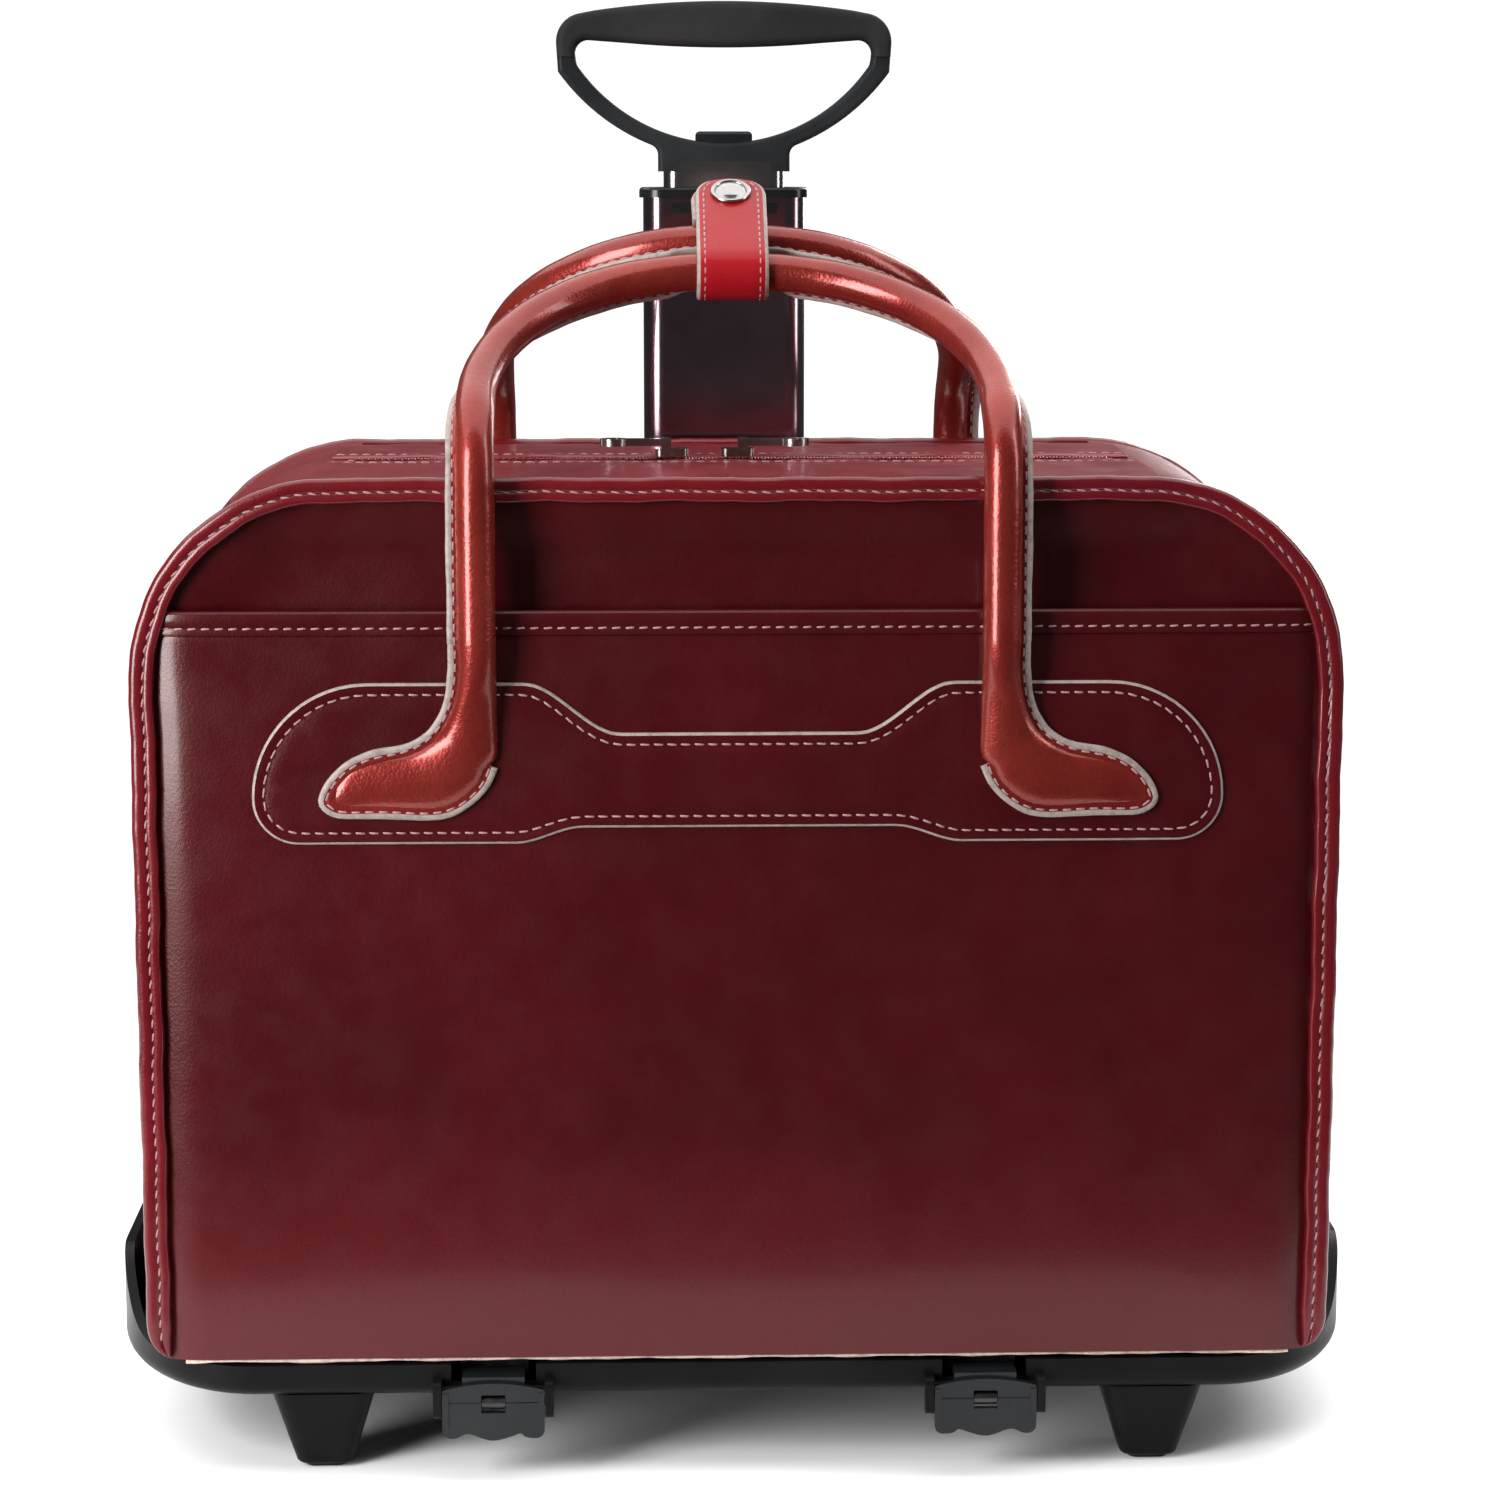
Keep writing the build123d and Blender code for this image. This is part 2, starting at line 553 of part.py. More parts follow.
def make_latches():
    pin_y, pin_z = LATCH_PIN_Y, LATCH_PIN_Z
    cheek_x = (LATCH_HALF + CLEAR, LATCH_HALF + 3.2)
    cheek = block(cheek_x, (pin_y - 3.4, BASE_FRONT), (pin_z - 5.5, pin_z + 8))
    cheek = fillet(cheek.edges().filter_by(Axis.X).sort_by(Axis.Y)[:2], 2.5)
    cheek -= rod_x(*cheek_x, pin_y, pin_z, LATCH_PIN_R)
    bracket = Pos(LATCH_X, 0, 0) * both_sides(cheek)
    save("latch_brackets", both_sides(bracket))
    reach = cheek_x[1] - 0.4
    pin = rod_x(LATCH_X - reach, LATCH_X + reach, pin_y, pin_z, LATCH_PIN_R)
    save("latch_pins", both_sides(pin))
    save_pair("latch_lever", latch_lever())
    coil = rod_x(LATCH_X - 4, LATCH_X + 4, pin_y, pin_z, 2.6)
    coil -= rod_x(LATCH_X - 5, LATCH_X + 5, pin_y, pin_z, 1.9)
    save("latch_springs", both_sides(coil))


def latch_lever():
    """A pressed lever: arched top edge, waved bottom edge, two ribs and an inward nose."""
    pin_y, pin_z = LATCH_PIN_Y, LATCH_PIN_Z
    low, high = LATCH_Z
    half = LATCH_HALF
    outline = [
        ThreePointArc((-half, high - 2.5), (0, high), (half, high - 2.5)),
        Line((half, high - 2.5), (half, low + 3)),
        TangentArc((half, low + 3), (half - 3, low), tangent=(0, -1)),
        Spline(
            (half - 3, low),
            (half - 8, low + 1.6),
            (0, low - 0.8),
            (8 - half, low + 1.6),
            (3 - half, low),
            tangents=((-1, 0), (-1, 0)),
        ),
        TangentArc((3 - half, low), (-half, low + 3), tangent=(-1, 0)),
        Line((-half, low + 3), (-half, high - 2.5)),
    ]
    plate = Pos(LATCH_X, 0, 0) * slab(make_face(outline), pin_y - 2.9, pin_y - 0.4)
    for x in (LATCH_X - half, LATCH_X + half - 2.2):
        plate += block((x, x + 2.2), (pin_y - 3.4, pin_y + 1.5), (low + 4, high - 3.5))
    plate += rod_x(LATCH_X - half, LATCH_X + half, pin_y, pin_z, 3.0)
    nose_x = (LATCH_X - 11, LATCH_X + 11)
    plate += block(nose_x, (pin_y - 0.6, CATCH_Y - 2.9), (high - 0.6, high + 1.6))
    plate += block(nose_x, (pin_y - 0.6, pin_y + 2.0), (pin_z, high + 1.6))
    plate -= rod_x(LATCH_X - half - 1, LATCH_X + half + 1, pin_y, pin_z, LATCH_PIN_R + RUNNING)
    recess = block((LATCH_X - 4.3, LATCH_X + 4.3), (pin_y - 3.3, pin_y + 4), (pin_z - 3.3, pin_z + 3.3))
    return plate - recess


def make_screws():
    """Cross-slotted pan heads under the base and across the rear housing."""
    head = Pos(0, 0, -1.2) * Cylinder(3.6, 2.4)
    slot = Pos(0, 0, -2.0) * (Box(5.0, 1.0, 1.2) + Box(1.0, 5.0, 1.2))
    screw = head - slot
    under = []
    for x in (-150, -60, 60, 150):
        under.append(Pos(x, POST_Y, BASE_BOTTOM) * screw)
    for x in (-165, 165):
        under.append(Pos(x, -30, BASE_BOTTOM) * screw)
    back_plane = Plane(origin=(0, BASE_BACK, 0), x_dir=(1, 0, 0), z_dir=(0, -1, 0))
    back = [back_plane * Pos(x, 58, 0) * screw for x in (-150, -60, 60, 150)]
    save("base_screws", Compound(children=[s for shape in under + back for s in shape.solids()]))


# ---------------------------------------------------------------- telescoping post and grip
def make_post():
    save("outer_tube", oval_tube(OUTER_SIZE, OUTER_Z))
    collar = oval_bar(OUTER_SIZE, *COLLAR_Z, 4.0)
    collar = fillet(collar.edges().group_by(Axis.Z)[-1], 3.0)
    collar -= oval_bar(OUTER_SIZE, COLLAR_Z[0] - 1, OUTER_Z[1])
    collar -= oval_bar(MIDDLE_SIZE, OUTER_Z[0], COLLAR_Z[1] + 1, CLEAR)
    save("post_collar", collar)

    save("middle_tube", oval_tube(MIDDLE_SIZE, MIDDLE_Z))
    bush_low = MIDDLE_Z[0] - 4
    bush = oval_bar(OUTER_SIZE, bush_low, bush_low + BUSH_HEIGHT, -TUBE_WALL - CLEAR)
    bush -= oval_bar(MIDDLE_SIZE, MIDDLE_Z[0], bush_low + BUSH_HEIGHT + 1)
    save("middle_bush", bush)
    cap = oval_bar(MIDDLE_SIZE, MIDDLE_Z[1], CAP_TOP, 1.5)
    cap = fillet(cap.edges().group_by(Axis.Z)[-1], 1.5)
    cap += oval_bar(MIDDLE_SIZE, MIDDLE_Z[1] - 12, MIDDLE_Z[1], -TUBE_WALL)
    cap -= oval_bar(INNER_SIZE, MIDDLE_Z[0], CAP_TOP + 1, CLEAR)
    save("middle_cap", cap)
    inlay_y = POST_Y - MIDDLE_SIZE[1] / 2
    save("middle_inlay", block((-INLAY_HALF, INLAY_HALF), (inlay_y - 0.25, inlay_y), INLAY_Z))

    save("inner_tube", oval_tube(INNER_SIZE, INNER_Z))
    plug_low = INNER_Z[0] - 4
    plug = oval_bar(MIDDLE_SIZE, plug_low, plug_low + BUSH_HEIGHT, -TUBE_WALL - CLEAR)
    plug -= oval_bar(INNER_SIZE, INNER_Z[0], plug_low + BUSH_HEIGHT + 1)
    save("inner_bush", plug)


def grip_outer():
    """Outline of the loop grip: crowned top bar, arched flanks and a short square neck."""
    shoulder = (50.0, 519.6)
    top_corner = (GRIP_HALF + 1.2, 516.6)
    side_low = (GRIP_HALF, 496.2)
    neck_top = (NECK_HALF, 467.2)
    crown = ThreePointArc((-shoulder[0], shoulder[1]), (0, GRIP_TOP), shoulder)
    flank = [
        Line(shoulder, top_corner),
        Line(top_corner, side_low),
        ThreePointArc(side_low, (48.0, 479.4), neck_top),
        Line(neck_top, (NECK_HALF, GRIP_BOTTOM)),
    ]
    other = [mirror(edge, about=Plane.YZ) for edge in flank]
    base = Line((NECK_HALF, GRIP_BOTTOM), (-NECK_HALF, GRIP_BOTTOM))
    face = make_face([crown, *flank, base, *other])
    for corner, radius in ((top_corner, 11.0), (neck_top, 4.0)):
        at_corner = [v for v in face.vertices() if abs(v.Y - corner[1]) < 0.1]
        face = fillet(at_corner, radius)
    return face


def grip_hole():
    """The hand hole: a sagging top edge over a round bowl."""
    sag_end = (38.0, 507.4)
    top_corner = (58.6, 508.9)
    bowl_end = (57.0, 499.0)
    sag = ThreePointArc((-sag_end[0], sag_end[1]), (0, 505.7), sag_end)
    bowl = ThreePointArc((-bowl_end[0], bowl_end[1]), (0, 469.0), bowl_end)
    right = [Line(sag_end, top_corner), Line(top_corner, bowl_end)]
    other = [mirror(edge, about=Plane.YZ) for edge in right]
    face = make_face([sag, *right, *other, bowl])
    for corner, radius in ((top_corner, 5.0), (bowl_end, 4.0)):
        at_corner = [v for v in face.vertices() if abs(v.Y - corner[1]) < 0.1]
        face = fillet(at_corner, radius)
    return face


def make_grip():
    ring = grip_outer() - grip_hole()
    wide = (-80, 80)
    arms = ring & window(wide, (GRIP_BOTTOM, GRIP_SPLIT))
    frame = slab(arms, POST_Y - GRIP_HALF_THICK, POST_Y + GRIP_HALF_THICK)
    frame = fillet(face_edges(frame, GRIP_HALF_THICK, GRIP_BOTTOM + 0.5, GRIP_SPLIT - 0.5), 2.0)
    core = offset(ring, -2.6) & window(wide, (GRIP_SPLIT - 3, GRIP_TOP))
    frame += slab(core, POST_Y - 5.0, POST_Y + 5.0)
    bar = ring & window(wide, (GRIP_SPLIT, GRIP_TOP + 1))
    rubber = slab(bar, POST_Y - RUBBER_HALF_THICK, POST_Y + RUBBER_HALF_THICK)
    rubber = fillet(face_edges(rubber, RUBBER_HALF_THICK, GRIP_SPLIT + 0.5, GRIP_TOP + 1), 3.0)
    save("grip_rubber", rubber - frame)

    frame -= oval_bar(INNER_SIZE, GRIP_BOTTOM, INNER_Z[1])
    frame += oval_bar(INNER_SIZE, GRIP_BOTTOM - 12, INNER_Z[1], -TUBE_WALL)
    button_low = BUTTON_Z[0]
    well_x = (-BUTTON_HALF - CLEAR, BUTTON_HALF + CLEAR)
    frame -= block(well_x, (POST_Y - 4.3, POST_Y + 4.3), (button_low - 5, 480))
    for x in (-ROD_X, ROD_X):
        frame -= Pos(x, POST_Y, GRIP_BOTTOM - 5) * Cylinder(ROD_R + CLEAR, 30)
    save("grip_frame", frame)


def face_edges(solid, half_thickness, z_low, z_high):
    """Edges that lie in the front and back faces of a plate on the post's plane."""

    def is_wanted(edge):
        middle = edge.center()
        on_face = abs(abs(middle.Y - POST_Y) - half_thickness) < 0.01
        return on_face and z_low < middle.Z < z_high

    return [edge for edge in solid.edges() if is_wanted(edge)]


def make_button():
    low = BUTTON_Z[0]
    button = block((-BUTTON_HALF, BUTTON_HALF), (POST_Y - 4, POST_Y + 4), BUTTON_Z)
    button = fillet(button.edges().group_by(Axis.Z)[-1], 1.8)
    save("release_button", button)
    rod = Pos(ROD_X, POST_Y, (low + ROD_LOW) / 2) * Cylinder(ROD_R, low - ROD_LOW)
    save("release_rods", both_sides(rod))
    coils = [Pos(0, POST_Y, low - 4.2 + 1.2 * turn) * Torus(3.0, 0.4) for turn in range(4)]
    save("button_spring", Compound(children=coils))


# ---------------------------------------------------------------- build
os.makedirs("parts", exist_ok=True)
make_panels()
make_gussets()
make_zip()
make_inside()
make_patches()
make_trolley_strap()
make_bag_underside()
front_top = make_handle("handle_front", FRONT_LEG_X, FRONT_LEAN, FRONT_REACH, -1)
back_top = make_handle("handle_back", BACK_LEG_X, BACK_LEAN, BACK_REACH, 1)
make_wrap(front_top, back_top)
make_tray()
make_rear_housing()
make_wheel_housings()
make_wheels()
make_feet()
make_latches()
make_screws()
make_post()
make_grip()
make_button()
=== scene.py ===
from math import cos, pi, radians, sin, tau

import bmesh
import bpy
import numpy as np
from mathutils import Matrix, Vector
from mathutils.geometry import delaunay_2d_cdt


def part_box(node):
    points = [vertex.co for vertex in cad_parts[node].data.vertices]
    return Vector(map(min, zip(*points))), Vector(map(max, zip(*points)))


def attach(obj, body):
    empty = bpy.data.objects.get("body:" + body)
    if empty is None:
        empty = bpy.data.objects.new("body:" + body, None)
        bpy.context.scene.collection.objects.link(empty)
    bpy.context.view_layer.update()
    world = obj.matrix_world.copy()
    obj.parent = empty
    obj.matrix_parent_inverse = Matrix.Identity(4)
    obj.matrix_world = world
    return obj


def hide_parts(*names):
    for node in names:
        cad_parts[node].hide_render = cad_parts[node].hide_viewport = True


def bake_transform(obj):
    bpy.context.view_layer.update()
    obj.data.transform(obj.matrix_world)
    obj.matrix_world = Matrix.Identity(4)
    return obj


# Rolling laptop case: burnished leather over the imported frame, in metres.  The hard parts are
# the frame's own nodes with new materials; everything sewn is modelled here.

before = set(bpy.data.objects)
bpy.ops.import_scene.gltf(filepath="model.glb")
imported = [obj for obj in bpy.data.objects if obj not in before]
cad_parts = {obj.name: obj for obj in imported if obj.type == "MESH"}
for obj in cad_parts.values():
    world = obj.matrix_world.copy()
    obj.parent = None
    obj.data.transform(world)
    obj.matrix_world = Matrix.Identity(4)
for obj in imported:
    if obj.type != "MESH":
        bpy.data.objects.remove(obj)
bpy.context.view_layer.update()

# ---------------- measures from the frame
binding_low, binding_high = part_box("binding_front")
back_low, back_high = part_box("binding_back")
BAG_HALF = binding_high.x
BAG_BOTTOM = binding_low.z
BAG_TOP = binding_high.z
FRONT = (binding_low.y + binding_high.y) / 2
BACK = (back_low.y + back_high.y) / 2
BAG_MID = (FRONT + BACK) / 2
BINDING_HALF = (binding_high.y - binding_low.y) / 2
POCKET_FRONT, POCKET_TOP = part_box("pocket_panel")[0].y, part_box("pocket_panel")[1].z
UPPER_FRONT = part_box("front_panel")[0].y
BACK_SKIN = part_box("back_panel")[1].y
ZIP_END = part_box("zip_chain")[1].x
TEETH_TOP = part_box("zip_chain")[1].z

# ---------------- measures of the sewn parts
BAG_HALF_LOW = 0.209  # half width of the bag's outline at its foot
SHOULDER = 0.070  # radius of the outline's upper corners
FOOT = 0.0135  # radius of its lower corners
BINDING = 0.0087  # width of the strip that binds a panel's edge
PANEL_MARGIN = BINDING - 0.0012  # a panel's edge runs this far in, under its binding
LEATHER = 0.0014
STITCH_PITCH = 0.0047
THREAD = 0.00036
HANDLE_R = 0.0067  # radius of the rolled handle
BEND_R = 0.030  # radius of its bend back over the bag, which starts at BEND_Z
BEND_Z = 0.354
ARCH_R = 0.084  # radius of the arch's two shoulders
LEG_TOP = 0.300  # the tab's rings meet the leg's here
STEP = 0.0024  # spacing of the rings along a handle
ZIP_GAP = 0.009  # half the gap between the two top strips

FRONT_SIDE, BACK_SIDE = -1, 1


# ---------------- curves
def unit(vectors):
    return vectors / np.linalg.norm(vectors, axis=-1, keepdims=True)


def xyz(x, y, z):
    """Points from their coordinates, any of which may be one number for them all."""
    return np.stack(np.broadcast_arrays(x, y, z), axis=-1).astype(float)


def smooth(value, low=0.0, high=1.0):
    """0 below low, 1 above high and a smooth step between."""
    t = np.clip((np.asarray(value, float) - low) / (high - low), 0, 1)
    return t * t * (3 - 2 * t)


def wobble(s, size, seed=0.0):
    """A smooth irregular wave along s, in metres, the same in each run."""
    waves = ((0.047, 1.0), (0.0213, 0.6), (0.0091, 0.3))
    return size * sum(k * np.sin(s * tau / length + seed * (1.3 + k)) for length, k in waves)


def distances(points, dims=3):
    gaps = np.linalg.norm(np.diff(points[:, :dims], axis=0), axis=1)
    return np.concatenate([[0.0], np.cumsum(gaps)])


def sample(points, at, dims=3):
    """Points (and anything in their further columns) at distances along a line."""
    along = distances(points, dims)
    return np.stack([np.interp(at, along, column) for column in points.T], axis=1)


def resample(points, step, dims=3):
    points = np.asarray(points, float)
    length = distances(points, dims)[-1]
    count = max(2, round(length / step) + 1)
    return sample(points, np.linspace(0, length, count), dims)


def arc(centre, radius, start, end, count=14):
    """Points on an arc, from one angle to another in degrees."""
    angles = np.radians(np.linspace(start, end, count))
    return [(centre[0] + radius * cos(a), centre[1] + radius * sin(a)) for a in angles]


def ramp(start, end, count=12):
    """Points on an S curve that leaves and arrives level."""
    wide, high = end[0] - start[0], end[1] - start[1]
    return [(start[0] + wide * t, start[1] + high * smooth(t)) for t in np.linspace(0, 1, count)]


def through(points, step):
    """A smooth line through points, evenly spaced (centripetal Catmull-Rom)."""
    points = np.asarray(points, float)
    ends = [2 * points[0] - points[1], *points, 2 * points[-1] - points[-2]]
    line = []
    for p0, p1, p2, p3 in zip(ends, ends[1:], ends[2:], ends[3:]):
        t1 = np.linalg.norm(p1 - p0) ** 0.5
        t2 = t1 + np.linalg.norm(p2 - p1) ** 0.5
        t3 = t2 + np.linalg.norm(p3 - p2) ** 0.5
        for t in np.linspace(t1, t2, 16, endpoint=False):
            a1 = p0 * (t1 - t) / t1 + p1 * t / t1
            a2 = p1 * (t2 - t) / (t2 - t1) + p2 * (t - t1) / (t2 - t1)
            a3 = p2 * (t3 - t) / (t3 - t2) + p3 * (t - t2) / (t3 - t2)
            b1 = a1 * (t2 - t) / t2 + a2 * t / t2
            b2 = a2 * (t3 - t) / (t3 - t1) + a3 * (t - t1) / (t3 - t1)
            line.append(b1 * (t2 - t) / (t2 - t1) + b2 * (t - t1) / (t2 - t1))
    return resample([*line, points[-1]], step, points.shape[1])


def close_loop(points, step):
    """An even closed outline that doesn't repeat its first point, counter-clockwise."""
    loop = resample([*points, points[0]], step, 2)[:-1]
    after = np.roll(loop, -1, axis=0)
    area = np.sum(loop[:, 0] * after[:, 1] - loop[:, 1] * after[:, 0])
    return loop if area > 0 else loop[::-1]


def right_of(line):
    """Unit normals to the right of a flat line."""
    along = unit(np.gradient(line, axis=0))
    return np.stack([along[:, 1], -along[:, 0]], axis=1)


def inset(loop, distance):
    """A counter-clockwise outline moved inwards."""
    along = unit(np.roll(loop, -1, axis=0) - np.roll(loop, 1, axis=0))
    return loop + distance * np.stack([-along[:, 1], along[:, 0]], axis=1)


def inside(points, loop):
    """Which points lie in an outline."""
    x, z = points[:, :1], points[:, 1:]
    x1, z1 = loop.T
    x2, z2 = np.roll(loop, -1, axis=0).T
    crosses = (z1 > z) != (z2 > z)
    reach = x1 + (z - z1) * (x2 - x1) / np.where(z2 == z1, 1e-12, z2 - z1)
    return np.sum(crosses & (x < reach), axis=1) % 2 == 1


# ---------------- pieces
class Piece:
    """Collects vertices, faces and material marks, and turns them into one object."""

    def __init__(self):
        self.verts = []
        self.faces = []
        self.marks = []
        self.count = 0

    def add(self, verts, faces, marks=0):
        self.faces += [tuple(int(i) + self.count for i in face) for face in faces]
        self.marks += [int(m) for m in np.broadcast_to(marks, len(faces))]
        self.verts.append(np.asarray(verts, float))
        self.count += len(verts)

    def grid(self, rows, wrap=False, marks=0):
        """Quads over rows of points.  wrap joins each row's ends; marks may differ by column."""
        rows = np.asarray(rows, float)
        index = np.arange(rows.shape[0] * rows.shape[1]).reshape(rows.shape[:2])
        if wrap:
            index = np.hstack([index, index[:, :1]])
        corners = (index[:-1, :-1], index[:-1, 1:], index[1:, 1:], index[1:, :-1])
        quads = np.stack(corners, axis=-1)
        every = np.broadcast_to(marks, quads.shape[:2]).reshape(-1)
        self.add(rows.reshape(-1, 3), quads.reshape(-1, 4), every)

    def rod(self, rings, marks=0, cap_mark=None):
        """A closed form through rings of points, with its two ends capped."""
        self.grid(rings, wrap=True, marks=marks)
        cap = marks if cap_mark is None else cap_mark
        for ring in (rings[0], rings[-1]):
            self.add(ring, [range(len(ring))], cap)

    def build(self, name, materials, facing=None, sharp=50):
        """One object of everything collected: welded, with its normals outwards or as asked."""
        mesh = bpy.data.meshes.new(name)
        mesh.from_pydata(np.vstack(self.verts).tolist(), [], self.faces)
        mesh.polygons.foreach_set("material_index", self.marks)
        for material in materials:
            mesh.materials.append(material)
        form = bmesh.new()
        form.from_mesh(mesh)
        bmesh.ops.remove_doubles(form, verts=form.verts, dist=1e-6)
        bmesh.ops.recalc_face_normals(form, faces=form.faces)
        if facing is not None:
            total = sum((f.normal * f.calc_area() for f in form.faces), Vector())
            if total.dot(Vector(facing)) < 0:
                bmesh.ops.reverse_faces(form, faces=form.faces)
        form.to_mesh(mesh)
        form.free()
        mesh.polygons.foreach_set("use_smooth", [True] * len(mesh.polygons))
        mesh.set_sharp_from_angle(angle=radians(sharp))
        made = bpy.data.objects.new(name, mesh)
        bpy.context.scene.collection.objects.link(made)
        return made

    def finish(self, name, materials, body, slot, stands_for=(), facing=None, sharp=50):
        """A piece of the case.  body is a name to attach it to, or (body, start, end), which
        leaves the piece where it is; start and end are not used.
        """
        piece = self.build(name, materials, facing, sharp)
        if stands_for:
            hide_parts(*stands_for)
        if isinstance(body, str):
            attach(piece, body)
        else:
            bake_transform(piece)
        return piece


def add_stitches(piece, points, normals, pitch=STITCH_PITCH, slant=0.10, thick=THREAD):
    """Threads along a line: short strokes whose ends dip into the leather."""
    points = np.asarray(points, float)
    normals = np.broadcast_to(np.asarray(normals, float), points.shape)
    line = resample(np.hstack([points, normals]), pitch)
    middle = (line[1:, :3] + line[:-1, :3]) / 2
    along = unit(line[1:, :3] - line[:-1, :3])
    normal = unit(line[1:, 3:] + line[:-1, 3:])
    across = np.cross(along, normal)
    along = unit(along + slant * across)
    steps = np.array([-0.5, -0.38, 0.0, 0.38, 0.5])[:, None] * pitch * 0.74
    width = np.array([0.4, 0.9, 1.0, 0.9, 0.4])[:, None] * thick
    lift = np.array([-1.3, 0.15, 0.6, 0.15, -1.3])[:, None] * thick
    angles = np.arange(6) * tau / 6
    sideways = width * np.cos(angles)
    upwards = lift + width * np.sin(angles) * 0.8
    for centre, way, side, up in zip(middle, along, across, normal):
        offsets = np.multiply.outer(steps + 0 * angles, way) + np.multiply.outer(sideways, side)
        piece.rod(centre + offsets + np.multiply.outer(upwards, up))


def sew(name, rows, **options):
    """One piece of stitching on the bag.  Each row is a line and the way its threads face."""
    seam = Piece()
    for points, normals in rows:
        add_stitches(seam, points, normals, **options)
    seam.finish(name + "_stitches", [thread], "bag", "leather_trim")


def fill(loops, spacing):
    """Triangles between nested outlines and over the innermost one."""
    inner = loops[-1]
    low, high = inner.min(axis=0), inner.max(axis=0)
    x = np.arange(low[0], high[0], spacing)
    z = np.arange(low[1], high[1], spacing * 0.87)
    mesh_x, mesh_z = np.meshgrid(x, z)
    mesh_x[::2] += spacing / 2
    points = np.stack([mesh_x.ravel(), mesh_z.ravel()], axis=1)
    points = points[inside(points, inset(inner, spacing * 0.6))]
    every = np.vstack([*loops, points])
    edges = []
    start = 0
    for loop in loops:
        index = np.arange(len(loop)) + start
        edges += [(int(a), int(b)) for a, b in zip(index, np.roll(index, -1))]
        start += len(loop)
    flat = delaunay_2d_cdt([Vector(p) for p in every], edges, [], 1, 1e-7)
    return np.array([tuple(v) for v in flat[0]]), [tuple(face) for face in flat[2]]


# ---------------- materials
def feed(socket, value):
    """Sets an input to a plain value, or links it to another node's output."""
    if isinstance(value, bpy.types.NodeSocket):
        socket.id_data.links.new(value, socket)
    else:
        socket.default_value = value


def set_sockets(made, **values):
    for key, value in values.items():
        feed(made.inputs[key.replace("_", " ")], value)


class Look:
    """The nodes of one material, and short ways to add to them."""

    def __init__(self, name):
        self.material = bpy.data.materials.new(name)
        self.material.use_nodes = True
        self.tree = self.material.node_tree
        self.place = self.space()

    def node(self, kind, links=None, **settings):
        """A node with its settings; links maps an input to a socket or a plain value."""
        made = self.tree.nodes.new(kind)
        for key, value in settings.items():
            setattr(made, key, value)
        for key, value in (links or {}).items():
            feed(made.inputs[key], value)
        return made

    def space(self, stretch=(1, 1, 1)):
        """Object coordinates, stretched."""
        links = {"Vector": self.node("ShaderNodeTexCoord").outputs["Object"], "Scale": stretch}
        return self.node("ShaderNodeMapping", links).outputs["Vector"]

    def noise(self, scale, detail=3.0, roughness=0.5, place=None):
        made = self.node("ShaderNodeTexNoise", {"Vector": place or self.place})
        set_sockets(made, Scale=scale, Detail=detail, Roughness=roughness)
        return made.outputs["Fac"]

    def spread(self, value, low, high, to_low=0.0, to_high=1.0):
        """A value's range low..high mapped to another range and held there."""
        links = {0: value, 1: low, 2: high, 3: to_low, 4: to_high}
        return self.node("ShaderNodeMapRange", links, interpolation_type="SMOOTHSTEP").outputs[0]

    def mix(self, factor, first, second):
        """A colour between two, each a plain red, green and blue or a socket."""
        made = self.node("ShaderNodeMix", {"Factor": factor}, data_type="RGBA")
        a, b = [s for s in made.inputs if s.type == "RGBA"]
        for socket, colour in ((a, first), (b, second)):
            feed(socket, (*colour, 1) if isinstance(colour, tuple) else colour)
        return [s for s in made.outputs if s.type == "RGBA"][0]

    def bump(self, height, distance, under=None):
        links = {"Height": height, "Distance": distance}
        if under is not None:
            links["Normal"] = under
        return self.node("ShaderNodeBump", links).outputs["Normal"]

    def shade(self, **values):
        """The material, with these inputs of its shader set."""
        set_sockets(self.tree.nodes["Principled BSDF"], **values)
        return self.material


def leather(name, colours, rough=0.34, coat=0.35, grain=0.00005, metallic=0.0, painted_reflection_heights=None):
    """Burnished hide: a dark glaze rubbed unevenly over a brighter red, with pores and creases.

    colours are the hide's darker and brighter red and its glaze.  A pair of heights, if given,
    sets
    where the colour brightens downwards: a painted reflection of the pale floor."""
    dark, bright, glaze = colours
    look = Look(name)
    colour = look.mix(look.spread(look.noise(16.0, 5.0, 0.6), 0.30, 0.75, 0.0, 0.45), dark, bright)
    # painted reflection: below these heights the colour brightens towards the bright red, standing
    # in for the floor mirrored low on the case
    if painted_reflection_heights:
        height = look.node("ShaderNodeSeparateXYZ", {"Vector": look.place}).outputs["Z"]
        colour = look.mix(look.spread(height, painted_reflection_heights[1], painted_reflection_heights[0]), colour, bright)
    fleck = look.spread(look.noise(420.0, 5.0, 0.6), 0.50, 0.78, 0.0, 0.35)
    rub = look.spread(look.noise(60.0, 4.0), 0.3, 0.7, rough - 0.05, rough + 0.07)
    cells = look.node("ShaderNodeTexVoronoi", {"Vector": look.place, "Scale": 900.0})
    creases = look.bump(look.noise(160.0, 6.0, 0.65), grain * 2.2)
    return look.shade(
        Base_Color=look.mix(fleck, colour, glaze), Roughness=rub, Metallic=metallic, IOR=1.48,
        Normal=look.bump(cells.outputs["Distance"], grain, under=creases),
        Specular_IOR_Level=0.24, Specular_Tint=(1.0, 0.66, 0.62, 1.0), Coat_Weight=coat,
        Coat_Roughness=0.16, Coat_Normal=look.bump(look.noise(28.0, 2.0), grain * 6),
    )


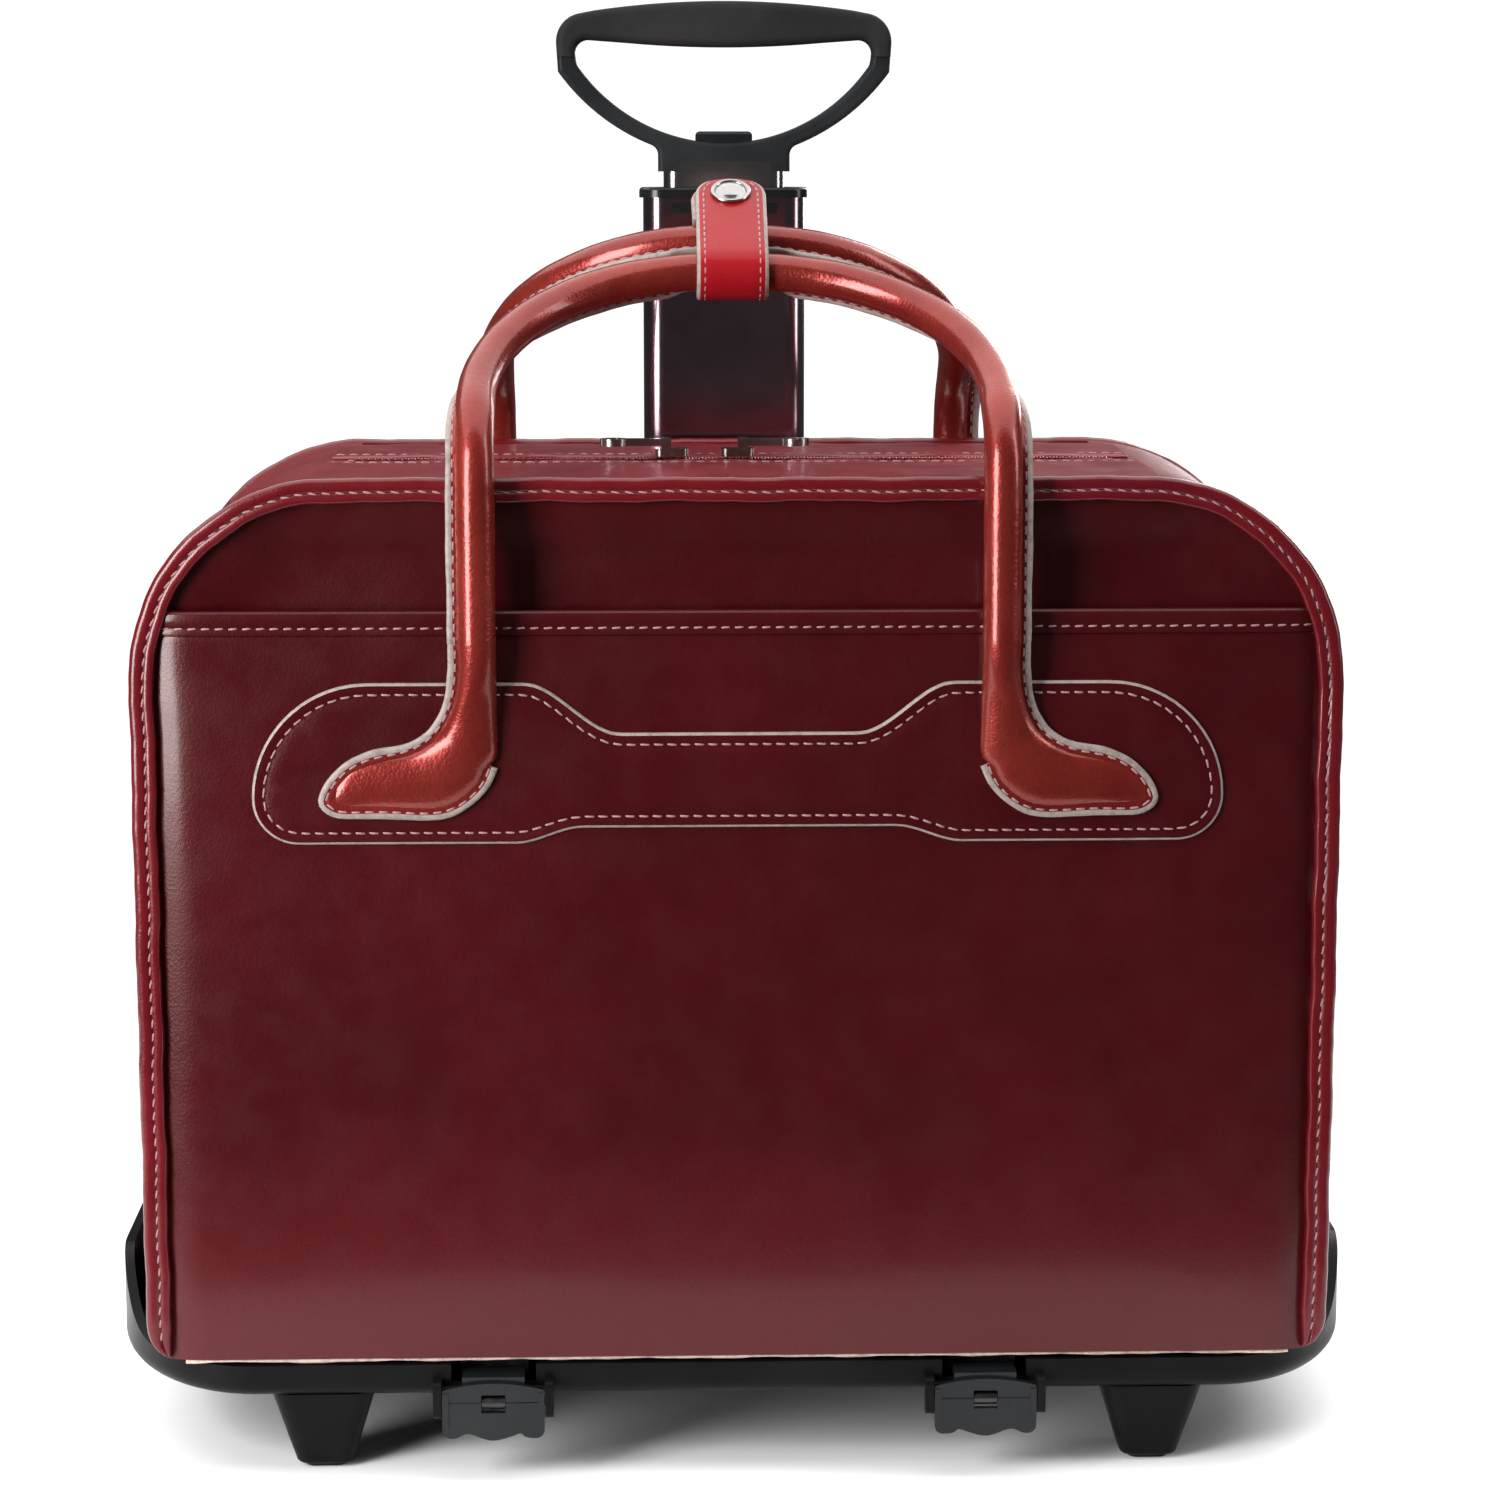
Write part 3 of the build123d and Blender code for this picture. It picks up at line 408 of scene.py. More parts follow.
def woven(name, yarn, shade, scale):
    """A plain weave: two crossed waves for its ribs, and a little fuzz."""
    look = Look(name)
    links = {"Vector": look.place, "Scale": scale, "Distortion": 0.6, "Detail": 1.0}
    ribs = [
        look.node("ShaderNodeTexWave", links, bands_direction=way).outputs["Fac"] for way in "XYZ"
    ]
    both = look.node("ShaderNodeMath", {0: ribs[0], 1: ribs[1]}, operation="MULTIPLY").outputs[0]
    both = look.node("ShaderNodeMath", {0: both, 1: ribs[2]}, operation="ADD").outputs[0]
    fuzz = look.spread(look.noise(300.0, 4.0), 0.4, 0.8, 0.0, 0.35)
    # darker where the ribs are low: painted shade between the yarns; the fuzz is random tone
    colour = look.mix(fuzz, look.mix(look.spread(both, 0.2, 1.3), shade, yarn), shade)
    return look.shade(Base_Color=colour, Normal=look.bump(both, 0.00012), Roughness=0.8,
                      Sheen_Weight=0.3, Sheen_Roughness=0.5)


def plastic(name, colour, worn, rough=0.42, grain=0.00003, scale=900.0, coat=0.0):
    """Moulded plastic or rubber: a fine spark-eroded grain, scuffs and a little dust."""
    look = Look(name)
    cloud = look.noise(24.0, 5.0, 0.6)
    scuff = look.noise(90.0, 6.0, 0.7, look.space((1, 1, 7)))
    mixed = look.mix(look.spread(cloud, 0.35, 0.75, 0.0, 0.6), colour, worn)
    mixed = look.mix(look.spread(scuff, 0.62, 0.8, 0.0, 0.5), mixed, worn)
    rub = look.spread(cloud, 0.3, 0.7, rough - 0.05, rough + 0.1)
    pits = look.bump(look.noise(scale, 3.0, 0.6), grain)
    return look.shade(Base_Color=mixed, Roughness=rub, Normal=pits, Specular_IOR_Level=0.07,
                      Coat_Weight=coat, Coat_Roughness=0.2)


def metal(name, colour, tarnish, rough=0.2, stretch=(1, 1, 1), coat=0.0):
    """Metal with drawing marks along the stretched axis and patches of tarnish."""
    look = Look(name)
    cloud = look.noise(30.0, 5.0, 0.6)
    lines = look.noise(500.0, 4.0, 0.6, look.space(stretch))
    mixed = look.mix(look.spread(cloud, 0.35, 0.8), colour, tarnish)
    mixed = look.mix(look.spread(lines, 0.55, 0.9, 0.0, 0.5), mixed, tarnish)
    rub = look.spread(lines, 0.3, 0.8, rough * 0.8, rough * 1.3)
    return look.shade(Base_Color=mixed, Roughness=rub, Normal=look.bump(lines, 0.000006),
                      Metallic=1.0, Coat_Weight=coat, Coat_Roughness=0.08)


def painted_edge(name, colour, shade):
    """The lacquered raw edge of cut leather: slightly lumpy and rubbed darker in places."""
    look = Look(name)
    lumps = look.noise(350.0, 4.0, 0.6)
    mixed = look.mix(look.spread(lumps, 0.4, 0.75), colour, shade)
    return look.shade(Base_Color=mixed, Normal=look.bump(lumps, 0.0001), Roughness=0.55,
                      Sheen_Weight=0.1)


def thread_material(name, colour, shade):
    """Waxed thread, lighter along the crowns of its twist: a painted highlight on the crowns and
    painted shade in the grooves.
    """
    look = Look(name)
    links = {"Vector": look.place, "Scale": 900.0, "Distortion": 1.0}
    twist = look.node("ShaderNodeTexWave", links, bands_direction="DIAGONAL").outputs["Fac"]
    return look.shade(Base_Color=look.mix(twist, shade, colour), Roughness=0.55,
                      Normal=look.bump(twist, 0.00006), Sheen_Weight=0.35)


# the body hide brightens towards the bottom: a painted reflection of the floor
hide = leather(
    "hide_body", ((0.036, 0.0016, 0.0027), (0.062, 0.0034, 0.0056), (0.018, 0.001, 0.0014)),
    painted_reflection_heights=(0.050, 0.140)
)
# a lighter copy of the body hide for the top strips and the gusset wall: painted light, for the
# light falling from above
hide_top = leather(
    "hide_top", ((0.12, 0.004, 0.008), (0.19, 0.009, 0.014), (0.06, 0.002, 0.004)),
    rough=0.40, coat=0.12
)
hide_trim = leather(
    "hide_trim", ((0.085, 0.003, 0.006), (0.15, 0.007, 0.011), (0.04, 0.002, 0.003)),
    rough=0.31, coat=0.5, grain=0.00007
)
hide_handle = leather(
    "hide_handle", ((0.15, 0.011, 0.009), (0.32, 0.045, 0.028), (0.07, 0.004, 0.004)),
    rough=0.30, coat=0.5, grain=0.00009, metallic=0.45
)
hide_strap = leather(
    "hide_strap", ((0.24, 0.004, 0.008), (0.34, 0.008, 0.014), (0.13, 0.003, 0.006)),
    rough=0.36, coat=0.15
)
raw_edge = painted_edge("raw_edge", (0.27, 0.22, 0.20), (0.17, 0.13, 0.11))
thread = thread_material("thread", (0.38, 0.20, 0.21), (0.22, 0.09, 0.10))
cream = painted_edge("cream_welt", (0.62, 0.50, 0.42), (0.40, 0.24, 0.20))
lining = woven("lining", (0.030, 0.028, 0.030), (0.012, 0.011, 0.012), 520.0)
tape = woven("zip_tape", (0.30, 0.020, 0.028), (0.13, 0.008, 0.012), 700.0)
silver = metal("silver", (0.36, 0.35, 0.34), (0.18, 0.17, 0.17), rough=0.22)
zip_tooth = metal("zip_tooth", (0.30, 0.06, 0.06), (0.16, 0.03, 0.03), rough=0.28)


# ---------------- the bag's surfaces
def half_width(z, drawn_in=0.0):
    """Half width of the bag's outline at height z, drawn in by a margin."""
    z = np.asarray(z, float)
    slope = (BAG_HALF - BAG_HALF_LOW) / (BAG_TOP - BAG_BOTTOM)
    half = BAG_HALF_LOW + slope * (z - BAG_BOTTOM) - drawn_in
    radius = SHOULDER - drawn_in
    rise = np.clip(z - (BAG_TOP - SHOULDER), 0, radius)
    return half - (radius - np.sqrt(radius**2 - rise**2))


def front_skin(x, z):
    """Outer face of the stuffed front panel: crowned, and drawn back to its seams."""
    crown, belly, roll, ripple = 0.0016, 0.0012, 0.0024, 0.00016  # each at its deepest
    edge, roll_width = 0.034, 0.014  # widths over which the crown and the roll fall away
    x, z = np.asarray(x, float), np.asarray(z, float)
    inner = BAG_HALF - BINDING
    sides = 1 - np.clip((np.abs(x) - (inner - edge)) / edge, 0, 1) ** 2.2
    low = 1 - np.clip((BAG_BOTTOM + 0.045 - z) / 0.045, 0, 1) ** 2
    top = 1 - 0.5 * smooth(z, POCKET_TOP - 0.05, POCKET_TOP)
    back = roll * np.clip((np.abs(x) - (inner - roll_width)) / roll_width, 0, 1) ** 2
    out = belly * (1 - (x / BAG_HALF) ** 2) * np.sin(pi * np.clip((z - 0.05) / 0.27, 0, 1))
    waves = ripple * np.sin(x * 31 + 1.3 * np.sin(z * 23)) * np.sin(z * 37 + 0.8)
    return POCKET_FRONT + back - crown * sides * low * top - out * sides - waves * sides * low


def back_skin(x, z):
    """Outer face of the back panel, crowned a little."""
    x, z = np.asarray(x, float), np.asarray(z, float)
    sides = 1 - np.clip((np.abs(x) - (BAG_HALF - 0.045)) / 0.036, 0, 1) ** 2
    ends = np.sin(pi * np.clip((z - BAG_BOTTOM) / (BAG_TOP - BAG_BOTTOM), 0, 1)) ** 0.5
    return BACK_SKIN + 0.0014 * sides * ends + 0.0002 * np.sin(x * 27) * np.sin(z * 33)


def skin(side, x, z):
    return front_skin(x, z) if side == FRONT_SIDE else back_skin(x, z)


def panel_grid(z_values, lifts, drawn_in, surface, columns=71):
    """Rows across the bag at the given heights; lifts move each row towards the front."""
    across = np.sin(np.linspace(-pi / 2, pi / 2, columns))
    rows = []
    for z, lift in zip(z_values, lifts):
        x = across * half_width(z, drawn_in)
        rows.append(xyz(x, surface(x, z) - lift, z))
    return rows


def shoulder_heights(low, drawn_in, step=0.005):
    """Heights up a panel, closer together where its outline turns over the shoulder."""
    spring = BAG_TOP - SHOULDER
    straight = np.arange(low, spring, step)
    turn = spring + (SHOULDER - drawn_in) * np.sin(np.linspace(0, pi / 2, 26))
    return np.concatenate([straight, turn])


# The pocket's turned hem, from the step below it, over the mouth and down inside: height from
# the mouth, and how far it stands out from the panel.
HEM_SEAM = -0.0061
INSIDE = -0.0024
HEM_SHAPE = (
    (-0.0092, 0.0), (-0.0088, -0.0002), (-0.0084, 0.0006), (-0.0074, 0.0007), (-0.0066, 0.0006),
    (HEM_SEAM, 0.0004), (-0.0056, 0.0006), (-0.0040, 0.0009), (-0.0018, 0.0010),
    (-0.0006, 0.0006), (0.0, -0.0006), (-0.0006, -0.0018), (-0.0020, INSIDE), (-0.0100, INSIDE),
)


def make_pocket():
    """The front pocket's panel: a turned hem along its mouth, with a step below it."""
    mouth = POCKET_TOP - 0.0006
    foot = BAG_BOTTOM + 0.0004
    up = np.arange(foot, mouth - 0.0089, 0.005)
    down = [*np.arange(mouth - 0.02, BAG_BOTTOM, -0.02), foot]
    z = [*up, *[mouth + rise for rise, _ in HEM_SHAPE], *down]
    lifts = [*[0.0] * len(up), *[lift for _, lift in HEM_SHAPE], *[INSIDE] * len(down)]
    piece = Piece()
    piece.grid(panel_grid(z, lifts, PANEL_MARGIN, front_skin))
    piece.finish("pocket_front", [hide], "bag", "leather_body", ("pocket_panel",), (0, -1, 0))
    end = BAG_HALF - BINDING - 0.002
    x = np.linspace(-end, end, 90)
    seam_z = mouth + HEM_SEAM
    line = xyz(x, front_skin(x, seam_z) - 0.0004, seam_z)
    sew("pocket_hem", [(line, (0, -1, 0))], slant=-0.08)


def upper_front(x, z):
    """Outer face of the front wall: proud by its bindings, hollow behind the pocket's mouth."""
    rim, belly, ripple = 0.0052, 0.0012, 0.0003  # each at its most
    near_edge = smooth(np.abs(x) / np.maximum(half_width(z, BINDING), 0.01), 0.80, 1.0)
    near_edge = near_edge * smooth(z, POCKET_TOP - 0.020, POCKET_TOP + 0.004)
    near_top = smooth(z, BAG_TOP - 0.030, BAG_TOP - 0.008)
    proud = rim * np.maximum(near_edge, near_top)
    swell = belly * np.sin(pi * np.clip((z - 0.29) / 0.06, 0, 1)) * np.cos(x * 14)
    return UPPER_FRONT - proud - swell + ripple * np.sin(x * 43 + z * 60)


def make_wall(name, side, surface, low, drawn_in, stands_for):
    """A wall of the bag, one thickness of leather, from a height up to the shoulders."""
    z = shoulder_heights(low, drawn_in)
    outer = panel_grid(z, np.zeros(len(z)), drawn_in, surface)
    inner = panel_grid(z[::-1], np.full(len(z), side * LEATHER), drawn_in, surface)
    piece = Piece()
    piece.grid([*outer, *inner])
    piece.finish(name, [hide], "bag", "leather_body", stands_for, (0, side, 0))


# ---------------- bindings
def outline_line(step=0.0022):
    """The bag's outline from the left foot over the top to the right foot, in X and Z."""
    spring = BAG_TOP - SHOULDER
    foot_centre = (BAG_HALF_LOW - FOOT, BAG_BOTTOM + FOOT)
    right = [(0.0, BAG_TOP)]
    right += arc((BAG_HALF - SHOULDER, spring), SHOULDER, 90, 0, 40)
    right += arc(foot_centre, FOOT, 0, -66, 12)
    line = [(-x, z) for x, z in right[:0:-1]] + right
    return resample(line, step, 2)


def inward(line):
    """Unit normals into the bag, level beside the rounded feet."""
    normal = right_of(line)
    at_foot = line[:, 1] < BAG_BOTTOM + FOOT
    normal[at_foot] = np.stack([-np.sign(line[at_foot, 0]), np.zeros(at_foot.sum())], axis=1)
    return normal


# Half a binding strip, from its outer fold inwards: share of its width, and of its thickness.
BINDING_SHAPE = (
    (0.00, 0.00), (0.015, 0.40), (0.07, 0.74), (0.17, 0.95), (0.30, 1.00), (0.45, 0.96),
    (0.53, 0.86), (0.58, 0.74), (0.63, 0.86), (0.72, 0.96), (0.88, 0.98), (0.96, 0.86), (1.0, 0.5),
)
STITCH_SHARE = 0.58


def make_binding(name, middle_y, side, stands_for):
    """A strip folded over the panel's edge, sewn through along its middle."""
    line = outline_line()
    normal = inward(line)
    s = distances(line, 2)
    seam_x = BAG_HALF_LOW - BINDING
    width = np.where(line[:, 1] < BAG_BOTTOM + FOOT, np.abs(line[:, 0]) - seam_x, BINDING)
    width = np.clip(width, 0.0006, BINDING) + wobble(s, 0.00010, 2.0)
    outer = line + normal * wobble(s, 0.00016, side)[:, None]
    pucker = 1 + 0.035 * np.sin(s * tau / STITCH_PITCH) + wobble(s, 0.02, 5.0)
    ring = [(share, high) for share, high in BINDING_SHAPE]
    ring += [(share, -high) for share, high in BINDING_SHAPE[:0:-1]]
    rows = []
    for share, high in ring:
        dip = pucker if 0.4 < share < 0.8 else 1 + wobble(s, 0.02, 5.0)
        flat = outer + normal * (width * share)[:, None]
        y = middle_y + side * BINDING_HALF * high * dip * np.clip(width / 0.004, 0.3, 1)
        rows.append(xyz(flat[:, 0], y, flat[:, 1]))
    piece = Piece()
    piece.rod(np.stack(rows, axis=1))
    piece.finish(name, [hide_trim], "bag", "leather_trim", stands_for, sharp=70)

    sewn = line[:, 1] > BAG_BOTTOM + 0.006
    x, z = (outer + normal * (width * STITCH_SHARE)[:, None])[sewn].T
    rows = []
    for face in (side, -side):
        rows.append((xyz(x, middle_y + face * BINDING_HALF * 0.78, z), (0, face, 0)))
    sew(name, rows, slant=0.2, thick=THREAD * 1.05)


# ---------------- gussets and zip
def make_gusset():
    """The lofted side and bottom wall: it sags inwards between the bindings."""
    sag_depth, thickness = 0.0042, 0.0022
    fold_depth, fold_at, fold_width = 0.0016, 0.47, 0.06  # at and width as shares of its depth
    right = [(ZIP_END, BAG_TOP)]
    right += arc((BAG_HALF - SHOULDER, BAG_TOP - SHOULDER), SHOULDER, 88, 0, 40)
    right += arc((BAG_HALF_LOW - FOOT, BAG_BOTTOM + FOOT), FOOT, 0, -90, 14)
    loop = right + [(-x, z) for x, z in right[::-1]]
    line = resample(loop, 0.005, 2)
    normal = right_of(line)
    s = distances(line, 2)
    upright = smooth(line[:, 1], BAG_BOTTOM + 0.01, BAG_BOTTOM + 0.10)
    upright = upright * (1 - 0.75 * smooth(line[:, 1], BAG_TOP - 0.06, BAG_TOP))
    outer, inner = [], []
    for share in np.linspace(0, 1, 29):
        y = FRONT + 0.0015 + share * (BACK - FRONT - 0.003)
        sag = sin(pi * share) ** 0.8 * (sag_depth + wobble(s, 0.0005, 1.0))
        off_fold = share - fold_at + wobble(s, 0.01, 3.0)
        fold = fold_depth * np.exp(-((off_fold / fold_width) ** 2))
        draw = 0.0011 + (sag + fold) * upright
        for rows, extra in ((outer, 0.0), (inner, thickness)):
            flat = line + normal * (draw + extra)[:, None]
            rows.append(xyz(flat[:, 0], y, flat[:, 1]))
    piece = Piece()
    piece.grid(outer, marks=0)
    piece.grid(inner, marks=1)
    for end in (0, -1):
        piece.grid([[row[end] for row in outer], [row[end] for row in inner]])
    nodes = ("side_gusset_left", "side_gusset_right", "bottom_gusset")
    piece.finish("gusset_wall", [hide_top, lining], "bag", "leather_body", nodes)


# A strip of the top, from the binding to the turned edge by the zip: share of its width, height.
TOP_SEAM = 0.885
TOP_SHAPE = (
    (0.0, -0.0020), (0.08, -0.0015), (0.2, -0.0009), (0.35, -0.0005), (0.5, -0.0004),
    (0.65, -0.0004), (0.78, -0.0005), (0.86, -0.0005), (TOP_SEAM, -0.0008), (0.91, -0.0004),
    (0.95, -0.0003), (0.985, -0.0005), (1.0, -0.0011),
)


def make_top_gusset(name, y_edge, y_zip, stands_for):
    """One strip of the top, from a binding to the zip, with a turned and sewn edge."""
    way = 1 if y_zip > y_edge else -1
    wide = abs(y_zip - y_edge)
    x = np.linspace(-ZIP_END - 0.006, ZIP_END + 0.006, 60)
    rows = []
    for share, up in TOP_SHAPE:
        y = y_edge + way * wide * share + wobble(x, 0.0002, 1 + way)
        z = BAG_TOP + up + wobble(x, 0.00022, 3 * share + way)
        rows.append(xyz(x, y, z))
    under = [row - np.array([0, 0, LEATHER]) for row in rows[::-1]]
    piece = Piece()
    piece.grid([*rows, *under])
    piece.finish(name, [hide_top], "bag", "leather_top", stands_for, (0, 0, 1))
    line = xyz(x, y_edge + way * wide * TOP_SEAM, BAG_TOP - 0.0007)
    sew(name, [(line, (0, 0, 1))])


def make_zip():
    """Tape and moulded teeth that mesh alternately from the two sides."""
    tape_z = TEETH_TOP - 0.0016
    half = 0.0105
    x = np.linspace(-ZIP_END, ZIP_END, 80)
    section = (
        (-1, 0.0), (-0.5, 0.0001), (0, 0.0), (0.5, 0.0001), (1, 0.0), (1, -0.0007), (-1, -0.0007)
    )
    rows = [xyz(x, BAG_MID + half * y, tape_z + z + wobble(x, 0.00004)) for y, z in section]
    band = Piece()
    band.rod(np.stack(rows, axis=1))
    band.finish("zip_tape", [tape], "bag", "zip_chain", ("zip_chain",))

    teeth = Piece()
    pitch = 0.0024
    stem = ((-0.0004, 0.30), (0.0, 0.48), (0.0014, 0.52), (0.0021, 0.42), (0.0026, 0.3))
    angles = np.arange(8) * tau / 8 + tau / 16
    for i, tooth_x in enumerate(np.arange(-ZIP_END + 0.003, ZIP_END - 0.003, pitch / 2)):
        way = 1 if i % 2 else -1
        rings = []
        for reach, thick in stem:
            ring_x = tooth_x + pitch * 0.5 * thick * np.cos(angles)
            ring_z = TEETH_TOP - 0.0009 + 0.0016 * thick * np.sin(angles)
            rings.append(xyz(ring_x, BAG_MID + way * (reach - 0.0004), ring_z))
        teeth.rod(np.array(rings))
    teeth.finish("zip_teeth", [zip_tooth], "bag", "zip_chain")


make_pocket()
make_wall("front_wall", FRONT_SIDE, upper_front, BAG_BOTTOM + 0.004, 0.0062, ("front_panel",))
make_wall("back_wall", BACK_SIDE, back_skin, BAG_BOTTOM + 0.0006, PANEL_MARGIN, ("back_panel",))
make_binding("binding_strip_front", FRONT, FRONT_SIDE, ("binding_front",))
make_binding("binding_strip_back", BACK, BACK_SIDE, ("binding_back",))
make_gusset()
make_top_gusset("top_strip_front", FRONT + 0.001, BAG_MID - ZIP_GAP, ("top_gusset_front",))
make_top_gusset("top_strip_back", BACK - 0.001, BAG_MID + ZIP_GAP, ("top_gusset_back",))
make_zip()


# ---------------- reinforcement patches
PATCH = 0.0015  # thickness
PATCH_STITCH = 0.0040  # distance of the seam from the edge


def patch_half():
    """The right half of the patch's outline, from the middle of its top to that of its bottom."""
    half = [(0.0, 0.268)]
    half += ramp((0.041, 0.268), (0.074, 0.2855))
    half += arc((0.128, 0.2455), 0.040, 90, 0)
    half += arc((0.152, 0.2455), 0.016, 0, -90)
    half += ramp((0.077, 0.2295), (0.054, 0.2350))
    return [*half, (0.0, 0.2350)]


def leather_sheet(piece, loop, side, thickness, rim, sewn):
    """A cut sheet on the bag's skin: lacquered edge, sewn-down margin and a soft middle."""
    edge_loops = ((0.0, -0.3), (0.0, 0.45), (rim * 0.45, 0.86), (rim, 1.0))

    def place(flat, up):
        x, z = flat.T
        return xyz(x, skin(side, x, z) + side * up, z)

    rings = [place(inset(loop, back), thickness * share) for back, share in edge_loops]
    piece.grid(rings, wrap=True, marks=1)
    loops = [inset(loop, rim)]
    loops += [inset(loop, sewn + offset) for offset in (-0.0009, 0.0, 0.0009)]
    flat, faces = fill(loops, 0.0042)
    pillow = 0.0002 * np.sin(flat[:, 0] * 90) * np.sin(flat[:, 1] * 130)
    up = thickness + pillow
    count = len(loop)
    up[2 * count:3 * count] -= 0.00035
    piece.add(place(flat, up), faces, 0)


def make_patch(name, side, stands_for):
    """A reinforcement patch that the handle's two tabs are sewn over."""
    right = patch_half()
    loop = close_loop([*right, *[(-x, z) for x, z in right[::-1]]], 0.0021)
    piece = Piece()
    leather_sheet(piece, loop, side, PATCH, 0.0009, PATCH_STITCH)
    piece.finish(name, [hide, raw_edge], "bag", "leather_trim", stands_for, (0, side, 0))
    sewn = inset(loop, PATCH_STITCH)
    x, z = np.vstack([sewn, sewn[:1]]).T
    line = xyz(x, skin(side, x, z) + side * (PATCH - 0.0001), z)
    sew(name, [(line, (0, side, 0))], slant=0.06)


# ---------------- carry handles
TAB_MARGIN = 0.0034  # from the tab's outline to its rolled body
TAB_FLANGE = 0.0042  # width of the sewn flange round the tab
FLANGE_ROOT = 0.0008  # the flange starts this deep inside the tube
FLANGE_HALF = 0.0013  # half its thickness
RING = 28  # points round the tube
# The flange's section, from its root outwards: share of its reach (below 0, metres), share of
# its half thickness, and 0 for hide or 1 for the lacquered edge.
FLANGE_SEAM = 0.38
FLANGE_SHAPE = (
    (-0.0018, 0.9, 0), (0.0, 1.0, 0), (0.25, 0.98, 0), (FLANGE_SEAM, 0.86, 0), (0.50, 1.0, 0),
    (0.76, 1.0, 1), (0.90, 0.84, 1), (0.98, 0.45, 1), (1.0, 0.0, 1),
)
# Outer edge of the right tab, from beside the leg round the toe and the heel, from the leg's axis.
TAB_EDGE = (
    (0.0099, 0.300), (0.0100, 0.2890), (0.0118, 0.2790), (0.0170, 0.2697), (0.0245, 0.2650),
    (0.0375, 0.2622), (0.0460, 0.2582), (0.0528, 0.2510), (0.0552, 0.2440), (0.0505, 0.2394),
    (0.0330, 0.2387), (0.0120, 0.2385), (0.0038, 0.2420), (-0.0035, 0.2490), (-0.0066, 0.2560),
)
BLEND_FROM, BLEND_TO = 0.279, 0.305  # heights passed with a handle's body; nothing bends the leather between them


class Handle:
    """One carry handle: its centre line, the directions round it and its sewn flange."""

    def __init__(self, node_name, side, lean, flange, roll):
        low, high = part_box(node_name)
        self.side = side
        self.flange = flange
        self.roll = radians(roll)
        self.leg_x = high.x - HANDLE_R
        self.leg_y = low.y + HANDLE_R if side == FRONT_SIDE else high.y - HANDLE_R
        self.lean = radians(lean)
        bend_z = BEND_Z + BEND_R * sin(self.lean)
        self.reach = (high.z - HANDLE_R - bend_z) / cos(self.lean)
        self.trace()

    def trace(self):
        """Stations up the right leg, over the bend and along the arch to its middle."""
        flat = self.leg_x - ARCH_R
        straight = self.reach - ARCH_R
        bend_y = BEND_R * (1 - cos(self.lean))
        bend_z = BEND_Z + BEND_R * sin(self.lean)

        def on_arch(x, along, angle):
            y = bend_y + along * sin(self.lean)
            return x, y, bend_z + along * cos(self.lean), self.lean, angle

        leg = np.arange(LEG_TOP, BEND_Z, STEP)
        bend = np.linspace(0, self.lean, max(3, int(BEND_R * self.lean / STEP)), endpoint=False)
        rise = np.linspace(0, straight, max(2, int(straight / STEP)), endpoint=False)
        turn = np.linspace(0, pi / 2, int(ARCH_R * pi / 2 / STEP))
        stations = [(self.leg_x, 0.0, z, 0.0, 0.0) for z in leg]
        stations += [
            (self.leg_x, BEND_R * (1 - cos(a)), BEND_Z + BEND_R * sin(a), a, 0.0) for a in bend
        ]
        stations += [on_arch(self.leg_x, r, 0.0) for r in rise]
        stations += [on_arch(flat + ARCH_R * cos(a), straight + ARCH_R * sin(a), a) for a in turn]
        stations += [on_arch(x, self.reach, pi / 2) for x in np.linspace(flat, 0, 4)[1:]]
        x, inward_y, z, lean, angle = np.array(stations).T
        self.centre = xyz(x, self.leg_y - self.side * inward_y, z)
        c, s = np.cos(angle), np.sin(angle)
        plane_y, plane_z = -self.side * np.sin(lean), np.cos(lean)
        self.outward = xyz(c, s * plane_y, s * plane_z)
        self.along = xyz(-s, c * plane_y, c * plane_z)
        self.under = xyz(0.0, -self.side * np.cos(lean), -np.sin(lean))

    def rings(self):
        """Rings of the tube itself, leg to arch top."""
        angles = np.arange(RING) * tau / RING
        radius = HANDLE_R + wobble(distances(self.centre), 0.00007, 2.0 + self.side)[:, None, None]
        wave = np.cos(angles)[None, :, None] * self.outward[:, None, :]
        wave = wave - np.sin(angles)[None, :, None] * self.under[:, None, :]
        return self.centre[:, None, :] + radius * wave

    def tab_rings(self):
        """Rings from the toe of the tab up to the leg: the tube flattens and turns outwards."""
        edge = through(np.array(TAB_EDGE) + np.array([self.leg_x, 0.0]), 0.001)
        body = edge + TAB_MARGIN * right_of(edge)
        length = distances(body, 2)[-1]
        toe = 0.452 * length
        stations = np.linspace(0, 1, 34)
        upper_share = np.interp(stations, (0, 0.30, 0.55, 1), (0, 0.36, 0.55, 1))
        upper = sample(body, toe * upper_share, 2)
        lower_share = np.interp(stations, (0, 0.30, 0.55, 0.74, 1), (0, 0.12, 0.34, 0.60, 1))
        inner_leg = [(self.leg_x - HANDLE_R, z) for z in np.linspace(LEG_TOP, 0.2595, 12)]
        below = np.vstack([inner_leg, body[distances(body, 2) >= toe][::-1]])
        lower = sample(below, distances(below, 2)[-1] * lower_share, 2)
        leg_share = 1 - smooth(stations, 0.0, 0.55)
        height = np.interp(stations, (0, 0.25, 0.45, 0.65, 0.9, 1.0),
                           (HANDLE_R, 0.0068, 0.0062, 0.0046, 0.0024, 0.0008))
        angles = np.arange(RING) * tau / RING
        rings = []
        for top, low, share, high in zip(upper, lower, leg_share, height):
            middle, half = (top + low) / 2, (top - low) / 2
            base = skin(self.side, middle[0], middle[1]) + self.side * (PATCH + 0.0006)
            y_middle = share * self.leg_y + (1 - share) * base
            depth = np.where(np.sin(angles) > 0, high, HANDLE_R * share + 0.0004)
            flat = middle + half * np.cos(angles)[:, None]
            y = y_middle + self.side * depth * np.sin(angles)
            rings.append(xyz(flat[:, 0], y, flat[:, 1]))
        return rings[::-1]

